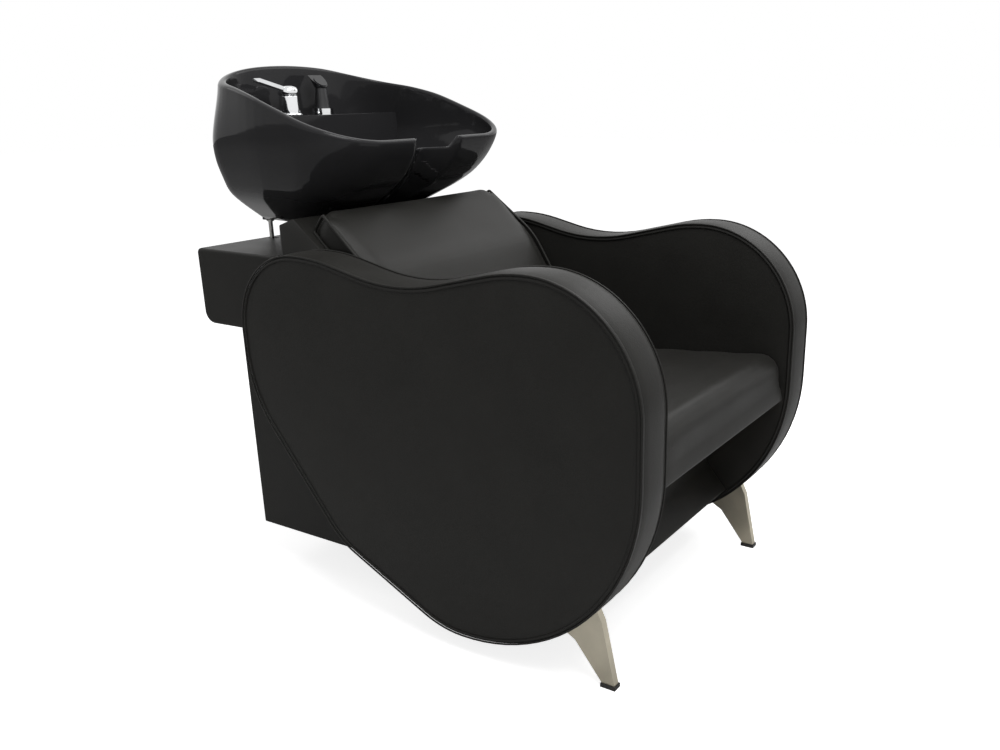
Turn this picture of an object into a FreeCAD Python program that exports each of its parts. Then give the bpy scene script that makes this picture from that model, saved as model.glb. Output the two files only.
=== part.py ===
import FreeCAD, Part
import math
import os

# Hair washing bed: an upholstered chair between two wave-shaped arms, with a tilting ceramic
# bowl behind its back. Millimetres, +Z up, the chair faces -Y, origin at the floor, centred.

# Overall: the arms' front to the bowl's front, the bowl, and the shelf's edge past it
overall_width = 700.0
bowl_setback = 627.0
bowl_length = 400.0
shelf_margin = 3.0

# Gaps and cuts
soft_gap = 0.3
running_clearance = 0.05
overrun = 5.0

# Shapes of the fasteners
hex_sides = 6
quarter_turn_deg = 90.0

# Arms: the outline's corners as (share of length, share of height, share of length as radius)
arm_thickness = 80.0
arm_length = 821.0
arm_height = 643.0
arm_floor_gap = 37.0
arm_outline_shares = (
    (0.0000, 1.0000, 0.2400), (0.0000, 0.0000, 0.4200), (0.4756, 0.0000, 0.2314),
    (0.7561, 0.1756, 0.1830), (1.0000, 0.5750, 0.3045), (1.0000, 0.9830, 0.1766),
    (0.7637, 0.9830, 0.4260), (0.5478, 0.9200, 0.4530), (0.2862, 1.0000, 0.3776))
band_width = 10.0
band_edge = 4.5
panel_thickness = 15.0
panel_recess = 1.5
panel_edge = 3.5

# Seat cushion and its board
seat_depth = 479.0
seat_setback = 2.0
seat_base_z = 350.0
seat_front_height = 96.0
seat_rear_height = 62.0
seat_front_lean = 5.0
seat_nose_radius = 34.0
seat_edge_radius = 12.0
seat_crown = 6.0
seat_draw = 5.0
board_thickness = 15.0
board_setback = 44.0
board_depth = 450.0
pad_end_length = 26.0

# Front panel under the seat and the board that closes the underside
kick_bottom_setback = 121.0
kick_bottom_z = 132.0
kick_bend_setback = 173.0
kick_bend_z = 193.0
kick_top_setback = 186.0
kick_bend_radius = 65.0
kick_thickness = 15.0
underside_thickness = 6.0
underside_setback = 26.0

# Seat frame tubes
tube_size = 30.0
tube_wall = 2.0
front_tube_setback = 240.0
rear_tube_setback = 440.0
end_plate_size = 70.0
end_plate_thickness = 4.0
frame_screw_radius = 3.0
frame_screw_head = 5.5
frame_screw_height = 3.0
frame_screw_length = 16.0
frame_screw_spacing = 54.0

# Back cushion, its welt and the back block
back_top_setback = 709.0
back_top_rise = 47.0
back_foot_setback = 474.5
back_foot_z = 414.0
back_lower_y_share = 0.2154
back_lower_z_share = 0.3801
back_upper_y_share = 0.4797
back_upper_z_share = 0.6947
back_pad_thickness = 42.0
back_pad_edge_radius = 9.0
back_bend_radius = 160.0
back_crown = 5.0
back_draw = 4.0
block_side_gap = 7.7
block_rear_gap = 32.0
block_rear_rise = 14.0
block_step_setback = 655.0
block_base_z = 425.0
block_cheek_z = 600.0
bowl_recess_depth = 26.0
bowl_recess_half_width = 196.0

# Rear shelf and plumbing cover
case_wall = 16.0
shelf_drop = 42.0
shelf_height = 149.0
shelf_lower_radius = 24.0
shelf_upper_radius = 10.0
cover_front_setback = 665.0
cover_rear_setback = 105.0
cover_bottom_z = 84.0
door_side_margin = 79.7
door_bottom_z = 130.0
door_top_margin = 47.0
door_gap = 2.0
hinge_radius = 5.0
hinge_pin_radius = 2.5
hinge_length = 60.0
hinge_inset = 50.0
hinge_leaf_thickness = 2.0
hinge_leaf_width = 18.0
pull_radius = 11.0
pull_stem_radius = 5.0
pull_depth = 22.0
pull_inset = 26.0
pull_sides = 8
catch_width = 24.0
catch_depth = 16.0
catch_height = 30.0
striker_thickness = 1.5
striker_width = 10.0

# Rear rail and feet under the cover
rail_setback = 64.0
rail_width = 40.0
rail_height = 30.0
rear_foot_x = 115.0
rear_foot_radius = 17.0
rear_pad_radius = 21.0
rear_pad_height = 10.0

# Front legs
leg_side_setback = 50.0
leg_thickness = 14.0
leg_foot_setback = 66.0
leg_foot_width = 24.0
leg_shoulder_setback = 90.0
leg_shoulder_z = 119.0
leg_root_setback = 118.0
leg_root_z = 130.0
leg_knee_setback = 141.0
leg_knee_z = 72.0
leg_heel_setback = 166.0
leg_heel_z = 86.0
leg_pad_height = 7.0
leg_pad_margin = 2.0
leg_tongue_width = 46.0
leg_tongue_top = 160.0
leg_tongue_bottom = 92.0
leg_bolt_radius = 4.0
leg_bolt_head_radius = 7.0
leg_bolt_head_height = 5.0
leg_bolt_spacing = 24.0

# Bowl: plan corners as (share of half width, share of length, share of half width as radius,
# number of chords), the rounder rear corner of the rim, then levels as (share of height, shares
# of the plan's width and length, share of length from the rear, how far the rear corner is rounded)
bowl_half_width = 257.0
bowl_base_z = 688.0
bowl_height = 297.0
bowl_wall = 14.0
bowl_floor = 16.0
bowl_plan_shares = (
    (0.000, 0.120, 0.170, 5), (0.253, 0.000, 0.060, 3), (1.000, 0.005, 0.447, 6),
    (1.000, 0.523, 1.200, 1), (0.915, 0.985, 0.270, 5), (0.000, 1.000, 1.600, 1))
rim_corner_shares = (0.840, 0.982, 0.525, 5)
rear_corner_number = 4
bowl_level_shares = (
    (0.000, 0.500, 0.507, 0.016, 0.000), (0.125, 0.725, 0.669, 0.010, 0.000),
    (0.202, 0.830, 0.780, 0.000, 0.000), (0.293, 0.895, 0.880, 0.000, 0.000),
    (0.420, 0.955, 0.960, 0.000, 0.000), (0.560, 1.000, 1.000, 0.000, 0.250),
    (0.880, 1.000, 1.000, 0.000, 1.000), (1.080, 1.000, 1.000, 0.000, 1.000))
rim_outline_shares = (
    (-0.100, 0.488), (0.000, 0.537), (0.240, 0.662), (0.500, 0.790), (0.662, 0.860), (1.100, 1.070))
rim_arch_radius = 727.0
rim_arch_rise = 343.0
rim_arch_slope = 0.358
rim_arch_chords = 8
neck_half_width = 60.0
neck_bottom_rise = 141.0
neck_reach = 80.0
neck_radius = 22.0
deck_place_share = 0.785
deck_rise = 200.0
deck_thickness = 14.0
pocket_half_width = 70.0
pocket_length = 36.0
drain_place_share = 0.640
drain_hole_radius = 24.0

# Waste fitting
flange_radius = 33.0
flange_height = 4.0
neck_outer_radius = 21.0
waste_bore_radius = 18.0
neck_length = 46.0
strainer_seat_radius = 20.0
strainer_seat_depth = 1.5
backnut_radius = 30.0
backnut_height = 9.0
pipe_radius = 20.0
pipe_length = 66.0
slip_nut_radius = 27.0
slip_nut_height = 14.0
slip_nut_sides = 8
strainer_radius = 17.0
strainer_depth = 12.0
strainer_sides = 12
strainer_rim_radius = 19.5
strainer_hole_radius = 3.0
strainer_hole_circle = 10.0
strainer_hole_count = 5
strainer_grip_radius = 3.5
strainer_grip_height = 9.0

# Tilting carrier under the bowl
pivot_place_share = 0.515
pivot_drop = 20.0
shaft_radius = 6.0
shaft_head_radius = 9.0
shaft_head_length = 4.0
carrier_thickness = 4.0
carrier_half_width = 78.0
carrier_front_reach = 16.0
carrier_arm_setback = 21.0
carrier_arm_half_width = 114.0
carrier_arm_width = 24.0
carrier_corner_radius = 8.0
carrier_flange_radius = 13.0
carrier_window_radius = 36.0
carrier_bolt_radius = 4.0
carrier_bolt_head_radius = 6.5
carrier_bolt_head_height = 4.0
carrier_bolt_reach = 9.0
carrier_bolt_x = 60.0
carrier_bolt_place_shares = (0.525, 0.755)
bush_wall = 2.0
bush_flange_radius = 11.0
bush_flange_thickness = 1.5
ear_thickness = 5.0
ear_radius = 15.0
ear_foot_length = 40.0
ear_foot_depth = 44.0
ear_foot_thickness = 4.0
ear_screw_radius = 2.5
ear_screw_head_radius = 4.5
ear_screw_head_height = 2.5
ear_screw_length = 12.0
ear_screw_spacing = 26.0
rod_x = 100.0
rod_radius = 4.5
rod_length = 90.0
rod_nut_radius = 8.0
rod_nut_height = 4.0
rod_slot_front = 12.0
rod_slot_clearance = 2.0
knob_radius = 15.0
knob_thickness = 14.0
knob_lobe_count = 6
knob_groove = 3.5
waste_slot_front = 10.0
waste_slot_clearance = 6.0

# Mixer and hand shower on the rear deck
fitting_place_share = 0.860
fitting_gap = 0.4
mixer_x = -50.0
mixer_base_radius = 25.0
mixer_base_height = 5.0
mixer_body_radius = 21.0
mixer_body_height = 34.0
mixer_cap_radius = 20.0
mixer_cap_height = 18.0
mixer_stud_radius = 10.0
mixer_stud_length = 38.0
deck_nut_radius = 16.0
deck_nut_height = 8.0
lever_reach = 60.0
lever_width = 14.0
lever_tip_width = 20.0
lever_thickness = 7.0
lever_rise_deg = 14.0
lever_pin_radius = 2.5
lever_slot_depth = 13.0
shower_x = 40.0
collar_radius = 22.0
collar_height = 12.0
collar_bore_radius = 11.0
collar_tube_radius = 13.0
collar_tube_length = 38.0
shower_stem_radius = 10.5
shower_stem_depth = 30.0
shower_seat_radius = 15.0
shower_grip_radius = 11.0
shower_grip_height = 40.0
shower_head_radius = 24.0
shower_head_height = 26.0
shower_slant_deg = 40.0
shower_face_radius = 14.0
shower_face_thickness = 2.0

# Places worked out from the sizes above: across, then from front to rear, then upwards
half_width = overall_width / 2
arm_inner_x = half_width - arm_thickness
between_x = arm_inner_x - soft_gap
block_half_width = between_x - block_side_gap
leg_x = half_width - leg_side_setback
overall_length = bowl_setback + bowl_length + shelf_margin
front_y = -overall_length / 2
rear_y = overall_length / 2
leg_foot_front = front_y + leg_foot_setback
leg_shoulder_y = front_y + leg_shoulder_setback
leg_root_y = front_y + leg_root_setback
leg_knee_y = front_y + leg_knee_setback
leg_heel_y = front_y + leg_heel_setback
seat_front_y = front_y + seat_setback
seat_rear_y = seat_front_y + seat_depth
board_front_y = seat_front_y + board_setback
kick_bottom_y = front_y + kick_bottom_setback
kick_bend_y = front_y + kick_bend_setback
kick_top_y = front_y + kick_top_setback
tube_places_y = (front_y + front_tube_setback, front_y + rear_tube_setback)
back_foot_y = front_y + back_foot_setback
back_top_y = front_y + back_top_setback
back_lower_y = back_foot_y + back_lower_y_share * (back_top_y - back_foot_y)
back_upper_y = back_foot_y + back_upper_y_share * (back_top_y - back_foot_y)
bowl_front_y = front_y + bowl_setback
pivot_y = bowl_front_y + pivot_place_share * bowl_length
drain_y = bowl_front_y + drain_place_share * bowl_length
deck_front_y = bowl_front_y + deck_place_share * bowl_length
fitting_y = bowl_front_y + fitting_place_share * bowl_length
block_step_y = front_y + block_step_setback
block_rear_y = pivot_y - block_rear_gap
cover_front_y = front_y + cover_front_setback
cover_rear_y = rear_y - cover_rear_setback
rail_y = cover_rear_y - rail_setback
board_base_z = seat_base_z - soft_gap - board_thickness
tube_base_z = board_base_z - tube_size
back_top_z = bowl_base_z + back_top_rise
back_lower_z = back_foot_z + back_lower_z_share * (back_top_z - back_foot_z)
back_upper_z = back_foot_z + back_upper_z_share * (back_top_z - back_foot_z)
block_rear_z = bowl_base_z + block_rear_rise
shelf_top_z = bowl_base_z - shelf_drop
shelf_bottom_z = shelf_top_z - shelf_height
pivot_z = bowl_base_z - pivot_drop
rod_end_z = bowl_base_z - rod_length
neck_bottom_z = bowl_base_z + neck_bottom_rise
deck_z = bowl_base_z + deck_rise
mixer_stud_end_z = deck_z - mixer_stud_length
collar_tube_end_z = deck_z - collar_tube_length
door_half_width = between_x - door_side_margin
door_top_z = shelf_bottom_z - door_top_margin
hinge_x = -door_half_width + door_gap / 2
hinge_y = cover_rear_y + hinge_radius + soft_gap
leg_tongue_y = (leg_root_y + leg_heel_y) / 2
bowl_rear_y = bowl_front_y + bowl_length
carrier_front_y = pivot_y - carrier_front_reach
carrier_arm_y = bowl_rear_y - carrier_arm_setback
carrier_bolt_places = [(carrier_bolt_x, bowl_front_y + share * bowl_length)
                       for share in carrier_bolt_place_shares]
ear_inner_x = carrier_half_width + bush_flange_thickness + soft_gap
ear_outer_x = ear_inner_x + ear_thickness
bush_outer_radius = shaft_radius + running_clearance + bush_wall
carrier_base_z = bowl_base_z - carrier_thickness
flange_top_z = bowl_base_z + bowl_floor + flange_height
neck_end_z = flange_top_z - neck_length
pipe_end_z = neck_end_z - pipe_length
mixer_seat_z = deck_z + mixer_base_height
mixer_top_z = mixer_seat_z + mixer_body_height
collar_top_z = deck_z + collar_height

V = FreeCAD.Vector
X_AXIS, Y_AXIS, Z_AXIS = V(1, 0, 0), V(0, 1, 0), V(0, 0, 1)
ORIGIN = V(0, 0, 0)


def box(x0, x1, y0, y1, z0, z1):
    """Box between two corners."""
    return Part.makeBox(x1 - x0, y1 - y0, z1 - z0, V(x0, y0, z0))


def post(radius, x, y, z0, z1):
    """Upright cylinder."""
    return Part.makeCylinder(radius, z1 - z0, V(x, y, z0), Z_AXIS)


def pin(radius, x0, x1, y, z):
    """Cylinder across the chair."""
    return Part.makeCylinder(radius, x1 - x0, V(x0, y, z), X_AXIS)


def fuse(shapes):
    """One clean solid from overlapping or touching shapes."""
    return shapes[0].multiFuse(shapes[1:]).removeSplitter()


def mirrored(shape):
    """Copy on the other side of the chair's centre plane."""
    return shape.mirror(ORIGIN, X_AXIS)


def both_sides(shape):
    return Part.makeCompound([shape, mirrored(shape)])


def corner_arcs(corners, radii):
    """Arc that turns each corner of a closed outline with its own radius."""
    arcs = []
    count = len(corners)
    for i in range(count):
        before, corner, after = corners[i - 1], corners[i], corners[(i + 1) % count]
        to_before = (before - corner).normalize()
        to_after = (after - corner).normalize()
        half_angle = to_before.getAngle(to_after) / 2
        reach = radii[i] / math.tan(half_angle)
        bisector = (to_before + to_after).normalize()
        middle = corner + bisector * (radii[i] / math.sin(half_angle) - radii[i])
        arcs.append(Part.Arc(corner + to_before * reach, middle, corner + to_after * reach).toShape())
    return arcs


def rounded_wire(corners, radii):
    """Closed wire of straight runs and corner arcs."""
    arcs = corner_arcs(corners, radii)
    edges = []
    for i, arc in enumerate(arcs):
        following = arcs[(i + 1) % len(arcs)]
        edges += [arc, Part.LineSegment(arc.Vertexes[-1].Point, following.Vertexes[0].Point).toShape()]
    return Part.Wire(edges)


def chorded_wire(corners, radii, chords):
    """The same outline with each arc as a number of chords, so that tapered walls are flat facets."""
    points = []
    for arc, count in zip(corner_arcs(corners, radii), chords):
        points += arc.discretize(count + 1)
    return Part.makePolygon(points + points[:1])


def sharp_face(corners):
    return Part.Face(Part.makePolygon(corners + corners[:1]))


def side_prism(corners, x0, x1, radii=None):
    """Profile of (y, z) corners drawn through from x0 to x1."""
    points = [V(x0, y, z) for y, z in corners]
    face = Part.Face(rounded_wire(points, radii)) if radii else sharp_face(points)
    return face.extrude(V(x1 - x0, 0, 0))


def parallel(points, distance, closed=False):
    """Line of (y, z) points moved sideways, to the right of its run, corners mitred."""
    moved = []
    count = len(points)
    for i, point in enumerate(points):
        normals = []
        for a, b in ((i - 1, i), (i, i + 1)):
            if closed or (a >= 0 and b < count):
                start, end = points[a % count], points[b % count]
                dy, dz = end[0] - start[0], end[1] - start[1]
                length = math.hypot(dy, dz)
                normals.append((dz / length, -dy / length))
        ny = sum(n[0] for n in normals)
        nz = sum(n[1] for n in normals)
        reach = distance * len(normals) / (ny * ny + nz * nz)
        moved.append((point[0] + ny * reach, point[1] + nz * reach))
    return moved


def grown_wire(corners, radii, grow, x):
    """Closed (y, z) outline in the plane x, moved outwards by grow; it runs with its inside on the right."""
    moved = parallel(corners, -grow, True)
    new_radii = []
    for i, radius in enumerate(radii):
        (y0, z0), (y1, z1), (y2, z2) = corners[i - 1], corners[i], corners[(i + 1) % len(corners)]
        turns_right = (y1 - y0) * (z2 - z1) - (z1 - z0) * (y2 - y1) < 0
        new_radii.append(radius + grow if turns_right else radius - grow)
    return rounded_wire([V(x, y, z) for y, z in moved], new_radii)


def soft_pad(corners, radii, half_length, crown, draw):
    """Cushion across the chair: full in the middle, drawn in towards its two ends."""
    shoulder = half_length - pad_end_length
    bend = half_length - pad_end_length / 3
    stations = [(half_length, -draw), (bend, -draw / 4), (shoulder, 0), (shoulder / 2, crown * 3 / 4)]
    ends = [(-x, grow) for x, grow in stations]
    stations = ends + [(0, crown)] + stations[::-1]
    return Part.makeLoft([grown_wire(corners, radii, grow, x) for x, grow in stations], True, True)


def regular_prism(sides, radius, x, y, z0, z1):
    """Upright prism with flat sides, such as a nut; radius is to its corners."""
    turn = 2 * math.pi / sides
    corners = [V(x + radius * math.cos(turn * i), y + radius * math.sin(turn * i), z0) for i in range(sides)]
    return sharp_face(corners).extrude(V(0, 0, z1 - z0))


def hex_bar(radius, x0, x1, y, z):
    """Six-sided bar across the chair, for bolts and the holes that take them."""
    bar = regular_prism(hex_sides, radius, 0, 0, 0, x1 - x0)
    bar.rotate(ORIGIN, Y_AXIS, quarter_turn_deg)
    return bar.translated(V(x0, y, z))


def save(name, shape):
    shape.exportStep(os.path.join("parts", name + ".step"))


def save_sides(name, shape):
    """Left and right pieces, from the one on the -X side."""
    save("left_" + name, shape)
    save("right_" + name, mirrored(shape))


# Arms: a timber core, upholstered side panels set into a band that runs round the edge
def arm_wire(x, grow):
    corners = [V(x, front_y + a * arm_length, arm_floor_gap + b * arm_height)
               for a, b, r in arm_outline_shares]
    wire = rounded_wire(corners, [r * arm_length for a, b, r in arm_outline_shares])
    return wire.makeOffset2D(grow) if grow else wire


def arm_slab(x0, x1, grow):
    return Part.Face(arm_wire(x0, grow)).extrude(V(x1 - x0, 0, 0))


def softened(slab, edge, faces_x):
    """Slab with the rims of its faces at faces_x taken off."""
    rims = [e for e in slab.Edges
            if e.BoundBox.XLength < soft_gap and min(abs(e.BoundBox.Center.x - x) for x in faces_x) < soft_gap]
    return slab.makeChamfer(edge, rims)


def leg_tongue(gap):
    """Upper end of a leg inside the arm, or its slot when gap is not zero."""
    half = leg_thickness / 2 + gap
    half_tongue = leg_tongue_width / 2 + gap
    return box(-leg_x - half, -leg_x + half, leg_tongue_y - half_tongue, leg_tongue_y + half_tongue,
               leg_tongue_bottom, leg_tongue_top + gap)


def leg_bolt_places():
    mid_z = (leg_tongue_top + leg_root_z) / 2
    return [(leg_tongue_y + side * leg_bolt_spacing / 2, mid_z) for side in (-1, 1)]


def make_arm():
    outer_x, inner_x = -half_width, -arm_inner_x
    inset = -band_width - soft_gap
    slot = leg_tongue(soft_gap)
    band = softened(arm_slab(outer_x, inner_x, 0), band_edge, (outer_x, inner_x))
    band = band.cut(arm_slab(outer_x - overrun, inner_x + overrun, -band_width)).cut(slot)
    outer_panel = softened(arm_slab(outer_x + panel_recess, outer_x + panel_thickness, inset),
                           panel_edge, (outer_x + panel_recess,))
    inner_panel = softened(arm_slab(inner_x - panel_thickness, inner_x - panel_recess, inset),
                           panel_edge, (inner_x - panel_recess,))
    core = arm_slab(outer_x + panel_thickness + soft_gap, inner_x - panel_thickness - soft_gap, inset)
    core = core.cut(slot)
    bolts = Part.makeCompound(left_leg_bolts())
    core = core.cut(bolts)
    inner_panel = inner_panel.cut(bolts).cut(Part.makeCompound(left_frame_screws()))
    return band, outer_panel, inner_panel, core


# Front legs: flat polished blades let into the arms, on small rubber pads
def make_leg():
    x0, x1 = -leg_x - leg_thickness / 2, -leg_x + leg_thickness / 2
    corners = ((leg_foot_front, leg_pad_height), (leg_shoulder_y, leg_shoulder_z),
               (leg_root_y, leg_root_z + leg_tongue_width), (leg_heel_y, leg_heel_z + leg_tongue_width),
               (leg_heel_y, leg_heel_z), (leg_knee_y, leg_knee_z),
               (leg_foot_front + leg_foot_width, leg_pad_height))
    blade = side_prism(corners, x0, x1)
    blade = blade.cut(arm_slab(-half_width - overrun, 0, soft_gap))
    leg = fuse([blade, leg_tongue(0)])
    for y, z in leg_bolt_places():
        leg = leg.cut(hex_bar(leg_bolt_radius, -leg_x - leg_thickness, -leg_x + leg_thickness, y, z))
    return leg


def left_leg_bolts():
    """Bolts through the arm into the leg, their heads let into the inner panel."""
    bolts = []
    face = -arm_inner_x - panel_recess
    for y, z in leg_bolt_places():
        shank = hex_bar(leg_bolt_radius, -leg_x - leg_thickness / 2, face - leg_bolt_head_height, y, z)
        head = hex_bar(leg_bolt_head_radius, face - leg_bolt_head_height, face, y, z)
        bolts.append(fuse([shank, head]))
    return bolts


def make_leg_pad():
    half = leg_thickness / 2 + leg_pad_margin
    return box(-leg_x - half, -leg_x + half, leg_foot_front - leg_pad_margin,
               leg_foot_front + leg_foot_width + leg_pad_margin, 0, leg_pad_height)


# Seat: a crowned cushion on a board, on two cross tubes screwed to the arms
def make_seat_cushion():
    corners = ((seat_front_y + seat_draw, seat_base_z - seat_edge_radius),
               (seat_front_y + seat_front_lean + seat_draw, seat_base_z + seat_front_height - seat_crown),
               (seat_rear_y, seat_base_z + seat_rear_height - seat_crown),
               (seat_rear_y, seat_base_z - seat_edge_radius))
    radii = (seat_edge_radius, seat_nose_radius, seat_edge_radius, seat_edge_radius)
    pad = soft_pad(corners, radii, between_x, seat_crown, seat_draw)
    below = box(-half_width, half_width, front_y - overrun, rear_y, 0, seat_base_z)
    return pad.cut(below)


def make_seat_board():
    return box(-between_x, between_x, board_front_y, board_front_y + board_depth,
               board_base_z, board_base_z + board_thickness)


def plate_screw_places(y):
    mid_z = board_base_z - end_plate_size / 2
    return [(y + side * frame_screw_spacing / 2, mid_z) for side in (-1, 1)]


def make_cross_tube(y):
    """Square tube with a plate at each end."""
    half = tube_size / 2
    mid_z = tube_base_z + half
    tube = box(-between_x, between_x, y - half, y + half, tube_base_z, tube_base_z + tube_size)
    hollow = half - tube_wall
    tube = tube.cut(box(-between_x, between_x, y - hollow, y + hollow, mid_z - hollow, mid_z + hollow))
    plate_half = end_plate_size / 2
    plates = []
    for x in (-between_x, between_x - end_plate_thickness):
        plate = box(x, x + end_plate_thickness, y - plate_half, y + plate_half,
                    board_base_z - end_plate_size, board_base_z)
        for screw_y, screw_z in plate_screw_places(y):
            plate = plate.cut(hex_bar(frame_screw_radius, x, x + end_plate_thickness, screw_y, screw_z))
        plates.append(plate)
    return fuse([tube] + plates)


def left_frame_screws():
    """Screws through the end plates into the arm's inner panel."""
    screws = []
    plate_face = -between_x + end_plate_thickness
    for tube_y in tube_places_y:
        for y, z in plate_screw_places(tube_y):
            shank = hex_bar(frame_screw_radius, plate_face - frame_screw_length, plate_face, y, z)
            head = hex_bar(frame_screw_head, plate_face, plate_face + frame_screw_height, y, z)
            screws.append(fuse([shank, head]))
    return screws


def kick_lines():
    outer = [(kick_bottom_y, kick_bottom_z), (kick_bend_y, kick_bend_z), (kick_top_y, board_base_z - soft_gap)]
    return outer, parallel(outer, kick_thickness)


def make_kick_panel():
    outer, inner = kick_lines()
    slope = (outer[1][1] - outer[0][1]) / (outer[1][0] - outer[0][0])
    low_outer = (outer[0][0] - kick_thickness / slope, outer[0][1] - kick_thickness)
    low_inner = (inner[0][0] - kick_thickness / slope, inner[0][1] - kick_thickness)
    corners = [low_outer, outer[1], outer[2], inner[2], inner[1], low_inner]
    sharp = soft_gap
    radii = [sharp, kick_bend_radius, sharp, sharp, kick_bend_radius + kick_thickness, sharp]
    panel = side_prism(corners, -between_x, between_x, radii)
    below = box(-half_width, half_width, front_y, rear_y, 0, kick_bottom_z)
    return panel.cut(below)


def make_underside_board():
    return box(-between_x, between_x, kick_bottom_y + underside_setback, cover_front_y - soft_gap,
               kick_bottom_z, kick_bottom_z + underside_thickness)


# Back: a thick pad on an upholstered block, with a welt along the pad's two side edges
def back_line(depth):
    """Line in the back, from the foot up, at a depth behind the pad's front."""
    front = [(back_foot_y, back_foot_z), (back_lower_y, back_lower_z),
             (back_upper_y, back_upper_z), (back_top_y, back_top_z)]
    line = parallel(front, depth) if depth else front
    fall = (block_rear_z - back_top_z) / (block_rear_y - back_top_y)
    (y0, z0), (y1, z1) = line[-2], line[-1]
    rise = (z1 - z0) / (y1 - y0)
    top_y = (back_top_z - fall * back_top_y - z0 + rise * y0) / (rise - fall)
    return line[:-1] + [(top_y, z0 + rise * (top_y - y0))]


def lowered(line, z):
    """The same line with its first point slid along its first run to height z."""
    (y0, z0), (y1, z1) = line[0], line[1]
    return [(y0 + (z - z0) * (y1 - y0) / (z1 - z0), z)] + line[1:]


def make_block():
    """Upholstered box of the back, hollowed at the top where the bowl reaches over it."""
    line = lowered(back_line(back_pad_thickness), block_base_z)
    corners = line + [(block_rear_y, block_rear_z), (block_rear_y, shelf_bottom_z),
                      (block_step_y, shelf_bottom_z), (block_step_y, block_base_z)]
    block = side_prism(corners, -block_half_width, block_half_width)
    cheeks = side_prism(corners, -between_x, between_x)
    cheeks = cheeks.common(box(-half_width, half_width, front_y, rear_y, 0, block_cheek_z))
    recess_front = block_rear_y - 2 * bowl_recess_depth
    recess = side_prism(((recess_front, back_top_z), (recess_front + bowl_recess_depth,
                         block_rear_z - bowl_recess_depth), (block_rear_y + overrun,
                         block_rear_z - bowl_recess_depth), (block_rear_y + overrun, back_top_z)),
                        -bowl_recess_half_width, bowl_recess_half_width)
    return fuse([block, cheeks]).cut(recess)


def make_back_cushion():
    front = back_line(0)
    deep = back_pad_thickness + back_crown
    rear = lowered(back_line(deep), back_foot_z)
    corners = front + rear[::-1]
    edge, bend, inner_bend = back_pad_edge_radius, back_bend_radius, back_bend_radius - deep
    radii = [edge, bend, bend, edge, edge, inner_bend, inner_bend, edge]
    pad = soft_pad(corners, radii, block_half_width, back_crown, back_draw)
    line = lowered(back_line(back_pad_thickness - soft_gap), front_y)
    behind = side_prism(line + [(rear_y, line[-1][1]), (rear_y, front_y)], -half_width, half_width)
    return pad.cut(behind)


# Rear: a deep shelf behind the back, over a cover that hides the plumbing
def make_shelf():
    corners = ((block_rear_y, shelf_bottom_z), (block_rear_y, shelf_top_z),
               (rear_y, shelf_top_z), (rear_y, shelf_bottom_z))
    radii = (soft_gap, soft_gap, shelf_upper_radius, shelf_lower_radius)
    shelf = side_prism(corners, -between_x, between_x, radii)
    inner_x = between_x - case_wall
    inner = side_prism(((block_rear_y + case_wall, shelf_bottom_z + case_wall),
                        (block_rear_y + case_wall, shelf_top_z - case_wall),
                        (rear_y - case_wall, shelf_top_z - case_wall),
                        (rear_y - case_wall, shelf_bottom_z + case_wall)), -inner_x, inner_x)
    mouth = box(-inner_x, inner_x, block_rear_y + case_wall, cover_rear_y - case_wall,
                shelf_bottom_z - overrun, shelf_bottom_z + case_wall + overrun)
    shelf = shelf.cut(inner).cut(mouth)
    low, high = shelf_top_z - case_wall - overrun, shelf_top_z + overrun
    radius = slip_nut_radius + waste_slot_clearance
    shelf = shelf.cut(slot_cut(0, drain_y - waste_slot_front, drain_y, radius, low, high))
    rod_slot = slot_cut(-rod_x, carrier_arm_y - rod_slot_front, carrier_arm_y,
                        rod_radius + rod_slot_clearance, low, high)
    shelf = shelf.cut(rod_slot).cut(mirrored(rod_slot))
    for x, y in ear_screw_places():
        hole = regular_prism(hex_sides, ear_screw_radius, x, y,
                             shelf_top_z + ear_foot_thickness - ear_screw_length, high)
        shelf = shelf.cut(hole).cut(mirrored(hole))
    return shelf


def slot_cut(x, y0, y1, radius, z0, z1):
    """Upright slot with round ends, along Y."""
    return fuse([post(radius, x, y0, z0, z1), post(radius, x, y1, z0, z1),
                 box(x - radius, x + radius, y0, y1, z0, z1)])


def make_cover():
    cover = box(-between_x, between_x, cover_front_y, cover_rear_y, cover_bottom_z, shelf_bottom_z)
    inner_x = between_x - case_wall
    cover = cover.cut(box(-inner_x, inner_x, cover_front_y + case_wall, cover_rear_y - case_wall,
                          cover_bottom_z - overrun, shelf_bottom_z + overrun))
    return cover.cut(box(-door_half_width, door_half_width, cover_rear_y - case_wall - overrun,
                         cover_rear_y + overrun, door_bottom_z, door_top_z))


def make_door():
    return box(-door_half_width + door_gap, door_half_width - door_gap, cover_rear_y - case_wall,
               cover_rear_y, door_bottom_z + door_gap, door_top_z - door_gap)


def hinge_bases():
    return [door_bottom_z + hinge_inset, door_top_z - hinge_inset - hinge_length]


def hinge_leaf(side, knuckles, base_z):
    """Leaf on one side of the pin, rolled round it at the numbered halves of its length."""
    part = hinge_length / 2
    near = hinge_x + side * (hinge_radius + soft_gap)
    far = hinge_x + side * (hinge_radius + hinge_leaf_width)
    parts = [box(min(near, far), max(near, far), cover_rear_y, cover_rear_y + hinge_leaf_thickness,
                 base_z, base_z + hinge_length)]
    for number in knuckles:
        low = base_z + number * part + soft_gap / 2
        high = base_z + (number + 1) * part - soft_gap / 2
        parts.append(post(hinge_radius, hinge_x, hinge_y, low, high))
        parts.append(box(min(hinge_x, near), max(hinge_x, near), cover_rear_y + soft_gap,
                         cover_rear_y + hinge_leaf_thickness, low, high))
    leaf = fuse(parts)
    return leaf.cut(post(hinge_pin_radius + running_clearance, hinge_x, hinge_y, base_z, base_z + hinge_length))


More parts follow.
